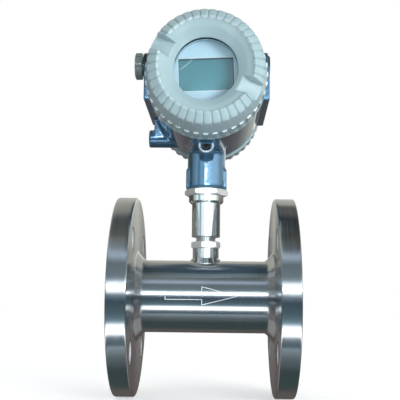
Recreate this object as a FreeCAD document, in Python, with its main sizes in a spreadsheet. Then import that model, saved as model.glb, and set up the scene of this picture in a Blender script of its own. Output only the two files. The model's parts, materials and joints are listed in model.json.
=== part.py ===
import FreeCAD, Part
import math
import operator
import os
import Sketcher

# Liquid turbine flow meter with a local display.
# The frame's origin is the centre of the inlet flange's raised face, +X points
# along the flow, +Z up the stem, and the display looks along -Y.

# Driving dimensions, in millimetres, degrees or plain counts
SIZES = {
    # flow line
    "face_to_face": 150.0,
    "bore_dia": 50.0,
    "flange_dia": 165.0,
    "flange_rim": 16.0,
    "flange_edge": 1.0,
    "raised_dia": 102.0,
    "raised_step": 2.0,
    "bolt_circle": 125.0,
    "bolt_hole": 18.0,
    "hub_dia": 74.0,
    "hub_length": 6.5,
    "hub_fillet": 4.0,
    "tube_dia": 60.0,
    "seat_land": 1.0,
    "seat_length": 22.0,
    # turbine in the bore
    "guide_length": 28.0,
    "guide_hub_dia": 20.0,
    "guide_nose": 14.0,
    "guide_tip_dia": 3.0,
    "vane_count": 4,
    "vane_thick": 1.6,
    "vane_setback": 7.0,
    "vane_sweep": 4.0,
    "vane_sink": 4.0,
    "rotor_hub_dia": 18.0,
    "rotor_end_gap": 0.5,
    "rotor_edge": 0.7,
    "blade_count": 8,
    "blade_length": 17.0,
    "blade_thick": 1.2,
    "blade_twist": 42.0,
    "blade_sink": 1.8,
    "blade_tip_gap": 0.5,
    "shaft_dia": 3.0,
    "shaft_edge": 0.3,
    "shaft_gap": 0.05,
    "shaft_end_gap": 0.15,
    "bearing_dia": 7.0,
    "bearing_length": 6.0,
    "thrust_dia": 4.0,
    "thrust_thick": 2.0,
    "clip_width": 2.0,
    "clip_radial": 3.0,
    "clip_groove": 1.2,
    "clip_opening": 10.0,
    "fit_gap": 0.05,
    # pickup and stem
    "boss_dia": 22.0,
    "boss_top": 40.5,
    "boss_weld": 2.5,
    "boss_weld_rise": 2.0,
    "boss_sink": 3.0,
    "small_edge": 0.4,
    "pickup_dia": 16.0,
    "pickup_bore": 12.4,
    "pickup_floor": 1.2,
    "pickup_seat": 27.0,
    "lock_nut_flats": 22.0,
    "lock_nut_height": 5.5,
    "lock_nut_turn": 14.0,
    "nut_bevel_slope": 0.5,
    "stub_height": 4.0,
    "pickup_overlap": 7.0,
    "pole_dia": 4.0,
    "pole_length": 16.0,
    "bobbin_dia": 12.0,
    "bobbin_length": 13.0,
    "bobbin_wall": 1.0,
    "coil_dia": 11.0,
    "magnet_dia": 10.0,
    "magnet_length": 7.0,
    "sleeve_dia": 24.0,
    "sleeve_length": 28.5,
    "sleeve_bore": 14.0,
    "sleeve_relief": 1.0,
    "collar_dia": 29.5,
    "collar_height": 6.5,
    "collar_edge": 1.6,
    "head_nut_flats": 32.0,
    "head_nut_height": 5.5,
    "spigot_dia": 20.0,
    "spigot_depth": 14.0,
    "spigot_room": 1.0,
    # housing of the head
    "head_rise": 173.3,
    "barrel_inset": 0.2,
    "barrel_length": 92.0,
    "barrel_edge": 1.0,
    "neck_dia": 32.5,
    "neck_passage": 13.0,
    "spigot_wall": 4.5,
    "spigot_thread_length": 12.0,
    "chamber_dia": 80.0,
    "divider_place": 34.0,
    "divider_thick": 6.0,
    "block_face": 51.2,
    "block_drop": 15.8,
    "block_rise": 14.0,
    "conduit_rise": 20.5,
    "conduit_offset": 18.0,
    "conduit_boss_dia": 24.0,
    "conduit_thread": 16.0,
    "neck_pad_reach": 17.3,
    "neck_pad_height": 17.5,
    "neck_pad_width": 15.0,
    "saddle_drop": 50.8,
    "saddle_height": 25.0,
    "saddle_front": 42.0,
    "saddle_root_width": 31.0,
    "saddle_tip_width": 21.0,
    "lug_dia": 12.2,
    "lug_drop": 52.4,
    "lug_reach": 40.0,
    "lug_root": 8.0,
    "lug_tail_dia": 11.0,
    "lug_tail_drop": 11.0,
    "lug_rim": 1.6,
    "lug_recess": 1.8,
    "jam_hole": 5.0,
    "earth_drop": 32.0,
    "earth_offset": 30.0,
    "earth_boss_dia": 16.0,
    "earth_boss_reach": 52.5,
    "earth_web_reach": 47.6,
    "earth_hole": 6.0,
    "earth_hole_depth": 12.0,
    # knurled covers
    "cover_wall": 2.8,
    "tooth_height": 1.0,
    "shoulder_inset": 2.5,
    "bevel_width": 7.6,
    "cover_lip": 1.8,
    "knurl_length": 17.0,
    "knurl_count": 40,
    "knurl_gap": 3.9,
    "front_cover_wall": 21.7,
    "crown_rise": 6.2,
    "dish_depth": 12.4,
    "window_dia": 50.4,
    "rib_slot": 0.9,
    "rib_depth": 0.9,
    "wrench_width": 12.5,
    "wrench_start": 3.6,
    "cover_turn": 26.0,
    "rear_cover_wall": 9.0,
    "rear_cover_roof": 7.4,
    "rear_roof_step": 1.9,
    "rear_wrench_depth": 4.0,
    "cover_gap": 0.4,
    "swivel_gap": 0.1,
    "cover_thread_length": 15.0,
    "cavity_step": 2.4,
    "cover_cavity_length": 30.0,
    "glass_boss_wall": 2.8,
    "window_lip": 1.6,
    "window_bevel": 1.0,
    "window_ring": 0.9,
    "seal_thick": 2.4,
    "seal_side_gap": 0.1,
    "seal_corner": 0.7,
    "glass_overlap": 3.8,
    "glass_thick": 6.0,
    "gasket_thick": 1.0,
    "glass_ring_width": 3.5,
    "glass_ring_thick": 4.0,
    "spanner_notch": 4.0,
    # display and electronics
    "bezel_room": 3.0,
    "bezel_thick": 3.0,
    "bezel_edge": 0.7,
    "bezel_place": 65.5,
    "lcd_width": 43.4,
    "lcd_height": 26.2,
    "lcd_thick": 1.4,
    "lcd_sink": 1.0,
    "lcd_drop": 1.0,
    "display_turn": 2.4,
    "board_thick": 1.6,
    "board_room": 3.0,
    "display_board_gap": 2.0,
    "standoff_dia": 6.0,
    "standoff_inset": 5.0,
    "main_board_width": 56.0,
    "main_board_height": 46.0,
    "main_board_gap": 38.0,
    "main_hole_inset": 4.5,
    "terminal_width": 42.0,
    "terminal_height": 16.0,
    "terminal_depth": 12.0,
    "terminal_step": 5.0,
    "terminal_count": 4,
    "terminal_screw_dia": 5.5,
    "terminal_screw_head": 1.6,
    "terminal_pitch": 10.0,
    "board_screw_dia": 5.5,
    "board_screw_head": 2.2,
    # plugs and fasteners
    "plug_head_dia": 22.6,
    "plug_head_length": 6.4,
    "plug_standoff": 1.0,
    "plug_thread_length": 8.0,
    "plug_crown": 0.8,
    "plug_grips": 24,
    "plug_grip_depth": 0.5,
    "plug_grip_width": 1.2,
    "blank_plug_dia": 19.0,
    "blank_plug_proud": 1.6,
    "hex_key": 8.0,
    "key_depth": 5.0,
    "jam_screw_length": 8.0,
    "jam_key": 2.5,
    "jam_key_depth": 2.5,
}

doc = FreeCAD.newDocument("flow_meter")
sheet = doc.addObject("Spreadsheet::Sheet", "Sizes")
for row, (word, number) in enumerate(SIZES.items(), start=1):
    sheet.set(f"A{row}", word)
    sheet.set(f"B{row}", str(number))
    sheet.setAlias(f"B{row}", word)
doc.recompute()


# Sizes that carry their formula
OPERATIONS = {"+": operator.add, "-": operator.sub, "*": operator.mul, "/": operator.truediv}


class Size:
    """A number together with the sheet formula that it comes from."""

    def __init__(self, value, formula):
        self.value = float(value)
        self.formula = formula

    def __add__(self, other):
        return joined(self, "+", other)

    def __radd__(self, other):
        return joined(other, "+", self)

    def __sub__(self, other):
        return joined(self, "-", other)

    def __rsub__(self, other):
        return joined(other, "-", self)

    def __mul__(self, other):
        return joined(self, "*", other)

    def __rmul__(self, other):
        return joined(other, "*", self)

    def __truediv__(self, other):
        return joined(self, "/", other)

    def __neg__(self):
        return joined(0, "-", self)


def as_size(number):
    return number if isinstance(number, Size) else Size(number, repr(float(number)))


def joined(left, sign, right):
    left, right = as_size(left), as_size(right)
    value = OPERATIONS[sign](left.value, right.value)
    return Size(value, f"({left.formula} {sign} {right.formula})")


class SheetSizes:
    """Gives each cell of the sheet by its alias, such as size.flange_dia."""

    def __getattr__(self, word):
        return Size(sheet.get(word), "Sizes." + word)


size = SheetSizes()


# Helpers for building
def bind(target, prop, number):
    """Set a property and tie it to the sheet."""
    number = as_size(number)
    target.setExpression(prop, number.formula)


def place(target, x=0, y=0, z=0, axis=(0, 0, 1), turn=0):
    """Put a piece at a point, turned about an axis, with its place tied to the sheet."""
    x, y, z, turn = as_size(x), as_size(y), as_size(z), as_size(turn)
    spin = FreeCAD.Rotation(FreeCAD.Vector(*axis), turn.value)
    target.Placement = FreeCAD.Placement(FreeCAD.Vector(x.value, y.value, z.value), spin)
    for prop, number in (("x", x), ("y", y), ("z", z)):
        target.setExpression("Placement.Base." + prop, number.formula)
    if turn.value:
        target.setExpression("Placement.Rotation.Angle", turn.formula)


def origin_part(body, role):
    return next(part for part in body.Origin.OriginFeatures if part.Role == role)


def new_body(label):
    body = doc.addObject("PartDesign::Body", label)
    body.Label = label
    return body


def new_sketch(body, plane, name, offset=0, turn=0):
    """A sketch on one of the body's origin planes, lifted and turned by sheet values."""
    sketch = body.newObject("Sketcher::SketchObject", name)
    sketch.AttachmentSupport = (origin_part(body, plane), [""])
    sketch.MapMode = "FlatFace"
    offset, turn = as_size(offset), as_size(turn)
    spin = FreeCAD.Rotation(FreeCAD.Vector(0, 0, 1), turn.value)
    sketch.AttachmentOffset = FreeCAD.Placement(FreeCAD.Vector(0, 0, offset.value), spin)
    if offset.value:
        sketch.setExpression("AttachmentOffset.Base.z", offset.formula)
    if turn.value:
        sketch.setExpression("AttachmentOffset.Rotation.Angle", turn.formula)
    return sketch


def fix_point(sketch, edge, end, across, up):
    """Hold one end of an edge at two sheet-driven distances from the sketch origin."""
    for kind, number in (("DistanceX", across), ("DistanceY", up)):
        number = as_size(number)
        rule = Sketcher.Constraint(kind, -1, 1, edge, end, number.value)
        index = sketch.addConstraint(rule)
        sketch.setExpression(f"Constraints[{index}]", number.formula)


def add_arc(sketch, start, finish, radius):
    """Arc from start to finish; a positive radius turns left on the way, a negative right."""
    chord = finish - start
    middle = start + chord * 0.5
    side = FreeCAD.Vector(-chord.y, chord.x, 0).normalize()
    rise = math.sqrt(max(radius ** 2 - (chord.Length / 2) ** 2, 0))
    centre = middle + side * math.copysign(rise, radius)
    first, last = (start, finish) if radius > 0 else (finish, start)
    angles = [math.atan2(point.y - centre.y, point.x - centre.x) for point in (first, last)]
    if angles[1] <= angles[0]:
        angles[1] += 2 * math.pi
    circle = Part.Circle(centre, FreeCAD.Vector(0, 0, 1), abs(radius))
    return sketch.addGeometry(Part.ArcOfCircle(circle, angles[0], angles[1]))


def outline(sketch, points):
    """Closed outline through points of (across, up) or (across, up, radius of the arc to the next)."""
    corners = [FreeCAD.Vector(as_size(p[0]).value, as_size(p[1]).value, 0) for p in points]
    ends = []
    for index, point in enumerate(points):
        start = corners[index]
        finish = corners[(index + 1) % len(points)]
        if len(point) == 3:
            edge = add_arc(sketch, start, finish, as_size(point[2]).value)
            ends.append((edge, 1, 2) if as_size(point[2]).value > 0 else (edge, 2, 1))
        else:
            edge = sketch.addGeometry(Part.LineSegment(start, finish))
            ends.append((edge, 1, 2))
    for index, (edge, _, finish) in enumerate(ends):
        following, start, _ = ends[(index + 1) % len(ends)]
        sketch.addConstraint(Sketcher.Constraint("Coincident", edge, finish, following, start))
    for (edge, start, _), point in zip(ends, points):
        fix_point(sketch, edge, start, point[0], point[1])
    for (edge, _, _), point in zip(ends, points):
        if len(point) == 3:
            radius = point[2]
            positive = radius if as_size(radius).value > 0 else 0 - as_size(radius)
            rule = Sketcher.Constraint("Radius", edge, as_size(positive).value)
            index = sketch.addConstraint(rule)
            sketch.setExpression(f"Constraints[{index}]", as_size(positive).formula)


def circle(sketch, across, up, dia):
    """A circle held by its centre and diameter."""
    across, up, dia = as_size(across), as_size(up), as_size(dia)
    shape = Part.Circle(FreeCAD.Vector(across.value, up.value, 0), FreeCAD.Vector(0, 0, 1), dia.value / 2)
    edge = sketch.addGeometry(shape)
    fix_point(sketch, edge, 3, across, up)
    index = sketch.addConstraint(Sketcher.Constraint("Diameter", edge, dia.value))
    sketch.setExpression(f"Constraints[{index}]", dia.formula)


def revolve(body, plane, axis, points, kind="Revolution"):
    """Turn a closed outline about one axis of its own sketch."""
    sketch = new_sketch(body, plane, body.Name + "_profile")
    outline(sketch, points)
    feature = body.newObject("PartDesign::" + kind, body.Name + "_turned")
    feature.Profile = sketch
    feature.ReferenceAxis = (sketch, [axis])
    feature.Angle = 360
    return feature


def turned_x(label, points):
    """Piece turned about X from an outline of (along, radius)."""
    body = new_body(label)
    revolve(body, "XZ_Plane", "H_Axis", points)
    return body


def turned_y(label, points):
    """Piece turned about Y from an outline of (along, radius)."""
    body = new_body(label)
    revolve(body, "YZ_Plane", "H_Axis", points)
    return body


def turned_z(label, points):
    """Piece turned about Z from an outline of (radius, height)."""
    body = new_body(label)
    revolve(body, "XZ_Plane", "V_Axis", points)
    return body


def pocket(body, sketch, depth=None, both_ways=False, reverse=False):
    """Cut a sketch's outline into the body, through all of it unless a depth is given."""
    feature = body.newObject("PartDesign::Pocket", sketch.Name + "_cut")
    feature.Profile = sketch
    feature.Type = "ThroughAll" if depth is None else "Length"
    if depth is not None:
        bind(feature, "Length", depth)
    if both_ways:
        feature.SideType = "Symmetric"
    feature.Reversed = reverse
    return feature


def pad(body, sketch, length, both_ways=False, reverse=False):
    feature = body.newObject("PartDesign::Pad", sketch.Name + "_pad")
    feature.Profile = sketch
    bind(feature, "Length", length)
    if both_ways:
        feature.SideType = "Symmetric"
    feature.Reversed = reverse
    return feature


def around(body, originals, axis, count):
    """Repeat features round one of the body's own axes."""
    feature = body.newObject("PartDesign::PolarPattern", originals[0].Name + "_round")
    feature.Originals = originals
    feature.Axis = (origin_part(body, axis), [""])
    feature.Angle = 360
    bind(feature, "Occurrences", count)
    body.Tip = feature
    return feature


def box(name, low, high):
    """Plain block between two corners, each tied to the sheet."""
    shape = doc.addObject("Part::Box", name)
    low, high = [as_size(n) for n in low], [as_size(n) for n in high]
    for prop, start, finish in zip(("Length", "Width", "Height"), low, high):
        bind(shape, prop, finish - start)
    place(shape, *low)
    return shape


def rod(name, dia, length, x=0, y=0, z=0, axis="Z"):
    """Plain cylinder that starts at a point and runs along +X, +Y or +Z."""
    shape = doc.addObject("Part::Cylinder", name)
    bind(shape, "Radius", as_size(dia) / 2)
    bind(shape, "Height", length)
    turns = {"X": ((0, 1, 0), 90), "Y": ((1, 0, 0), -90), "Z": ((0, 0, 1), 0)}
    direction, turn = turns[axis]
    x, y, z = as_size(x), as_size(y), as_size(z)
    spin = FreeCAD.Rotation(FreeCAD.Vector(*direction), turn)
    shape.Placement = FreeCAD.Placement(FreeCAD.Vector(x.value, y.value, z.value), spin)
    for prop, number in (("x", x), ("y", y), ("z", z)):
        shape.setExpression("Placement.Base." + prop, number.formula)
    return shape


def fused(name, shapes):
    shape = doc.addObject("Part::MultiFuse", name)
    shape.Shapes = shapes
    return shape


def cut(name, base, tool):
    shape = doc.addObject("Part::Cut", name)
    shape.Base = base
    shape.Tool = tool
    shape.Label = name
    return shape


# Places that more than one piece uses
bore = size.bore_dia / 2
middle = size.face_to_face / 2
tube_start = size.raised_step + size.flange_rim + size.hub_length
seat_start = middle - size.seat_length / 2
guide_start = seat_start - size.guide_length
nut_base = size.boss_top
sleeve_base = nut_base + size.lock_nut_height + size.stub_height
collar_base = sleeve_base + size.sleeve_length
head_nut_base = collar_base + size.collar_height
neck_base = head_nut_base + size.head_nut_height
barrel_end = size.barrel_length / 2
thread_radius = size.chamber_dia / 2 + size.spigot_wall
cover_bore = thread_radius + size.cover_gap
cover_radius = cover_bore + size.cover_wall
cavity_radius = cover_bore - size.cavity_step
tooth_radius = cover_radius + size.tooth_height
shoulder_radius = cover_radius - size.shoulder_inset
crown_radius = shoulder_radius - size.bevel_width
barrel_radius = cover_radius - size.barrel_inset
glass_radius = size.window_dia / 2 + size.glass_overlap
bezel_radius = size.chamber_dia / 2 - size.bezel_room
display_board_radius = bezel_radius - size.board_room
standoff_radius = display_board_radius - size.standoff_inset
tooth_end = size.cover_lip + size.knurl_length
window_out = tooth_end + size.front_cover_wall + size.crown_rise - size.dish_depth
past = 1.0  # how far a cutting shape runs past the faces that it opens


def make_flange(label):
    """Raised-face flange with a short hub, its face at x = 0 and its hub along +X."""
    face = size.raised_step
    back = face + size.flange_rim
    edge = size.flange_edge
    outer = size.flange_dia / 2
    body = turned_x(label, [
        (0, bore),
        (0, size.raised_dia / 2),
        (face, size.raised_dia / 2),
        (face, outer - edge),
        (face + edge, outer),
        (back - edge, outer),
        (back, outer - edge),
        (back, size.hub_dia / 2 + size.hub_fillet / 2, 0 - size.hub_fillet),
        (back + size.hub_fillet / 2, size.hub_dia / 2 - size.hub_fillet / 2),
        (tube_start, size.tube_dia / 2),
        (tube_start, bore),
    ])
    holes = new_sketch(body, "YZ_Plane", label + "_bolt", turn=45)
    circle(holes, size.bolt_circle / 2, 0, size.bolt_hole)
    drilled = pocket(body, holes, reverse=True)
    around(body, [drilled], "X_Axis", 4)
    return body


inlet_flange = make_flange("inlet_flange")
outlet_flange = make_flange("outlet_flange")
place(outlet_flange, x=size.face_to_face, axis=(0, 0, 1), turn=180)


def make_flow_tube():
    """Tube between the flange hubs: stepped bore, two clip grooves and the pickup's blind seat."""
    far = size.face_to_face
    radius = size.tube_dia / 2
    groove = bore + size.clip_groove
    land = bore - size.seat_land
    body = turned_x("flow_tube", [
        (tube_start, radius),
        (far - tube_start, radius),
        (far - tube_start, bore),
        (far - guide_start + size.clip_width, bore),
        (far - guide_start + size.clip_width, groove),
        (far - guide_start, groove),
        (far - guide_start, bore),
        (far - seat_start, bore),
        (far - seat_start, land),
        (seat_start, land),
        (seat_start, bore),
        (guide_start, bore),
        (guide_start, groove),
        (guide_start - size.clip_width, groove),
        (guide_start - size.clip_width, bore),
        (tube_start, bore),
    ])
    seat = new_sketch(body, "XY_Plane", "pickup_seat", offset=size.pickup_seat)
    circle(seat, middle, 0, size.pickup_dia + 2 * size.fit_gap)
    body.Tip = pocket(body, seat, reverse=True)
    return body


def make_guide(label):
    """Flow straightener: a bullet hub with straight vanes, its nose upstream at x = 0."""
    hub = size.guide_hub_dia / 2
    nose = size.guide_nose
    end = size.guide_length
    bush = size.bearing_dia / 2 + size.fit_gap
    pin = size.thrust_dia / 2 + size.fit_gap
    bush_start = end - size.bearing_length
    pin_start = bush_start - size.thrust_thick
    tip = size.guide_tip_dia / 2
    nose_radius = (nose * nose + (hub - tip) * (hub - tip)) / (2 * (hub - tip))
    body = turned_x(label, [
        (0, 0),
        (0, tip, 0 - nose_radius),
        (nose, hub),
        (end, hub),
        (end, bush),
        (bush_start, bush),
        (bush_start, pin),
        (pin_start, pin),
        (pin_start, 0),
    ])
    vane = new_sketch(body, "XZ_Plane", label + "_vane")
    root = hub - size.vane_sink
    wall = bore - size.fit_gap
    outline(vane, [
        (size.vane_setback, root),
        (end, root),
        (end, wall),
        (size.vane_setback + size.vane_sweep, wall),
    ])
    blade = pad(body, vane, size.vane_thick, both_ways=True)
    around(body, [blade], "X_Axis", size.vane_count)
    return body


def make_bearing(label):
    """Plain sleeve bush that the rotor's shaft turns in."""
    inner = size.shaft_dia / 2 + size.shaft_gap
    outer = size.bearing_dia / 2
    end = size.guide_length
    start = end - size.bearing_length
    return turned_x(label, [(start, inner), (start, outer), (end, outer), (end, inner)])


def make_thrust_pad(label):
    """Hard disc behind the bush that takes the shaft's end."""
    end = size.guide_length - size.bearing_length
    start = end - size.thrust_thick
    outer = size.thrust_dia / 2
    return turned_x(label, [(start, 0), (start, outer), (end, outer), (end, 0)])


def make_clip(label):
    """Open spring ring that sits in the tube's groove and holds a guide."""
    outer = bore + size.clip_groove - size.fit_gap
    inner = bore - size.clip_radial
    start = 0 - size.clip_width + size.fit_gap
    end = 0 - size.fit_gap
    body = turned_x(label, [(start, inner), (start, outer), (end, outer), (end, inner)])
    opening = new_sketch(body, "YZ_Plane", label + "_opening")
    half = size.clip_opening / 2
    outline(opening, [
        (0 - half, 0 - outer - past),
        (half, 0 - outer - past),
        (half, 0 - inner / 2),
        (0 - half, 0 - inner / 2),
    ])
    body.Tip = pocket(body, opening)
    return body


# Share of the blade's length and of its full thickness at each section
BLADE_SECTIONS = ((-0.5, 0.35), (-0.3, 1.0), (0.0, 1.0), (0.3, 1.0), (0.5, 0.35))


def make_rotor():
    """Turbine wheel: a hub with helical blades, lofted through turned sections."""
    hub = size.rotor_hub_dia / 2
    half = size.seat_length / 2 - size.rotor_end_gap
    inner = size.shaft_dia / 2 + size.fit_gap
    edge = size.rotor_edge
    body = turned_x("rotor", [
        (0 - half, inner),
        (0 - half, hub - edge),
        (edge - half, hub),
        (half - edge, hub),
        (half, hub - edge),
        (half, inner),
    ])
    root_radius = hub - size.blade_sink
    tip_radius = bore - size.seat_land - size.blade_tip_gap
    sections = []
    for station, fullness in BLADE_SECTIONS:
        section = new_sketch(
            body, "YZ_Plane", "blade_section",
            offset=size.blade_length * station,
            turn=size.blade_twist * (station + 0.5),
        )
        flank = size.blade_thick * fullness / 2
        outline(section, [
            (root_radius, 0 - flank),
            (tip_radius, 0 - flank),
            (tip_radius, flank),
            (root_radius, flank),
        ])
        sections.append(section)
    blade = body.newObject("PartDesign::AdditiveLoft", "blade")
    blade.Profile = sections[0]
    blade.Sections = sections[1:]
    around(body, [blade], "X_Axis", size.blade_count)
    place(body, x=middle)
    return body


def make_rotor_shaft():
    """Shaft through the rotor; its ends run in the two bushes."""
    reach = size.seat_length / 2 + size.bearing_length - size.shaft_end_gap
    outer = size.shaft_dia / 2
    edge = size.shaft_edge
    body = turned_x("rotor_shaft", [
        (0 - reach, 0),
        (0 - reach, outer - edge),
        (edge - reach, outer),
        (reach - edge, outer),
        (reach, outer - edge),
        (reach, 0),
    ])
    place(body, x=middle)
    return body


flow_tube = make_flow_tube()
sides = (("inlet", guide_start, 0), ("outlet", size.face_to_face - guide_start, 180))
turbine_pieces = [make_rotor(), make_rotor_shaft()]
for side, start, turn in sides:
    for kind, maker in (
        ("guide", make_guide),
        ("bearing", make_bearing),
        ("thrust_pad", make_thrust_pad),
        ("retaining_ring", make_clip),
    ):
        piece = maker(f"{side}_{kind}")
        place(piece, x=start, axis=(0, 0, 1), turn=turn)
        turbine_pieces.append(piece)


def make_pickup_boss():
    """Round boss welded on the tube, its foot cut to the tube's curve."""
    inner = size.pickup_dia / 2 + size.fit_gap
    outer = size.boss_dia / 2
    top = size.boss_top
    tube_top = size.tube_dia / 2
    foot = tube_top - size.boss_weld - size.boss_sink
    edge = size.small_edge
    turned = turned_z("boss_blank", [
        (inner, foot),
        (outer + size.boss_weld, foot),
        (outer + size.boss_weld, tube_top - size.boss_weld),
        (outer, tube_top + size.boss_weld_rise),
        (outer, top - edge),
        (outer - edge, top),
        (inner, top),
    ])
    place(turned, x=middle)
    tube_space = rod("tube_space", size.tube_dia, size.face_to_face, axis="X")
    return cut("pickup_boss", turned, tube_space)


def make_hex_nut(label, flats, height, hole_dia, base, turn):
    """Hexagon nut with both faces chamfered, so that the flats end in arcs."""
    body = new_body(label)
    corner = flats / math.sqrt(3)
    half = corner / 2
    face = flats / 2
    shape = new_sketch(body, "XY_Plane", label + "_hexagon")
    outline(shape, [
        (corner, 0),
        (half, face),
        (0 - half, face),
        (0 - corner, 0),
        (0 - half, 0 - face),
        (half, 0 - face),
    ])
    pad(body, shape, height)
    run = corner - face + past
    for end, inward in ((0, 1), (height, -1)):
        bevel = new_sketch(body, "XZ_Plane", label + "_bevel")
        outline(bevel, [
            (face, end),
            (face + run, end),
            (face + run, end + run * size.nut_bevel_slope * inward),
        ])
        groove = body.newObject("PartDesign::Groove", label + "_bevelled")
        groove.Profile = bevel
        groove.ReferenceAxis = (bevel, ["V_Axis"])
        groove.Angle = 360
    hole = new_sketch(body, "XY_Plane", label + "_hole")
    circle(hole, 0, 0, hole_dia)
    body.Tip = pocket(body, hole, reverse=True)
    place(body, x=middle, z=base, axis=(0, 0, 1), turn=turn)
    return body


def make_pickup():
    """Threaded pickup body with its pole piece, bobbin, winding and magnet, one above the other."""
    seat = size.pickup_seat
    floor = seat + size.pickup_floor
    top = sleeve_base + size.pickup_overlap
    outer = size.pickup_dia / 2
    inner = size.pickup_bore / 2
    shell = turned_z("pickup_body", [
        (0, seat), (outer, seat), (outer, top), (inner, top), (inner, floor), (0, floor),
    ])
    pole_top = floor + size.pole_length
    pole = turned_z("pole_piece", [
        (0, floor), (size.pole_dia / 2, floor), (size.pole_dia / 2, pole_top), (0, pole_top),
    ])
    hole = size.pole_dia / 2 + size.fit_gap
    core = hole + size.bobbin_wall
    rim = size.bobbin_dia / 2
    upper = floor + size.bobbin_length
    bobbin = turned_z("coil_bobbin", [
        (hole, floor),
        (rim, floor),
        (rim, floor + size.bobbin_wall),
        (core, floor + size.bobbin_wall),
        (core, upper - size.bobbin_wall),
        (rim, upper - size.bobbin_wall),
        (rim, upper),
        (hole, upper),
    ])
    wound = core + size.fit_gap
    winding = turned_z("coil_winding", [
        (wound, floor + size.bobbin_wall),
        (size.coil_dia / 2, floor + size.bobbin_wall),
        (size.coil_dia / 2, upper - size.bobbin_wall),
        (wound, upper - size.bobbin_wall),
    ])
    magnet_top = pole_top + size.magnet_length
    magnet = turned_z("pickup_magnet", [
        (0, pole_top),
        (size.magnet_dia / 2, pole_top),
        (size.magnet_dia / 2, magnet_top),
        (0, magnet_top),
    ])
    pieces = [shell, pole, bobbin, winding, magnet]
    for piece in pieces:
        place(piece, x=middle)
    return pieces


def make_stem_sleeve():
    """Polished sleeve with its collar and the threaded spigot that carries the head."""
    outer = size.sleeve_dia / 2
    collar = size.collar_dia / 2
    edge = size.collar_edge
    spigot = size.spigot_dia / 2
    top = neck_base + size.spigot_depth
    thread = size.pickup_dia / 2 + size.fit_gap
    step = sleeve_base + size.pickup_overlap + size.sleeve_relief
    inner = size.sleeve_bore / 2
    rim = size.small_edge
    body = turned_z("stem_sleeve", [
        (thread, sleeve_base),
        (outer - rim, sleeve_base),
        (outer, sleeve_base + rim),
        (outer, collar_base),
        (collar - edge, collar_base),
        (collar, collar_base + edge),
        (collar, head_nut_base - rim),
        (collar - rim, head_nut_base),
        (spigot, head_nut_base),
        (spigot, top - edge),
        (spigot - edge, top),
        (inner, top),
        (inner, step),
        (thread, step),
    ])
    place(body, x=middle)
    return body


def make_stem():
    lower = make_hex_nut(
        "pickup_lock_nut", size.lock_nut_flats, size.lock_nut_height,
        size.pickup_dia + 2 * size.fit_gap, nut_base, size.lock_nut_turn,
    )
    upper = make_hex_nut(
        "head_lock_nut", size.head_nut_flats, size.head_nut_height,
        size.spigot_dia + 2 * size.fit_gap, head_nut_base, 0,
    )
    return [make_pickup_boss(), lower, make_stem_sleeve(), upper]


stem_pieces = make_pickup() + make_stem()


# The head is modelled about its own axis, the covers' axis, and then raised on the stem.
def on_head(piece, y=0, axis=(0, 0, 1), turn=0):
    place(piece, x=middle, y=y, z=size.head_rise, axis=axis, turn=turn)
    return piece


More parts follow.
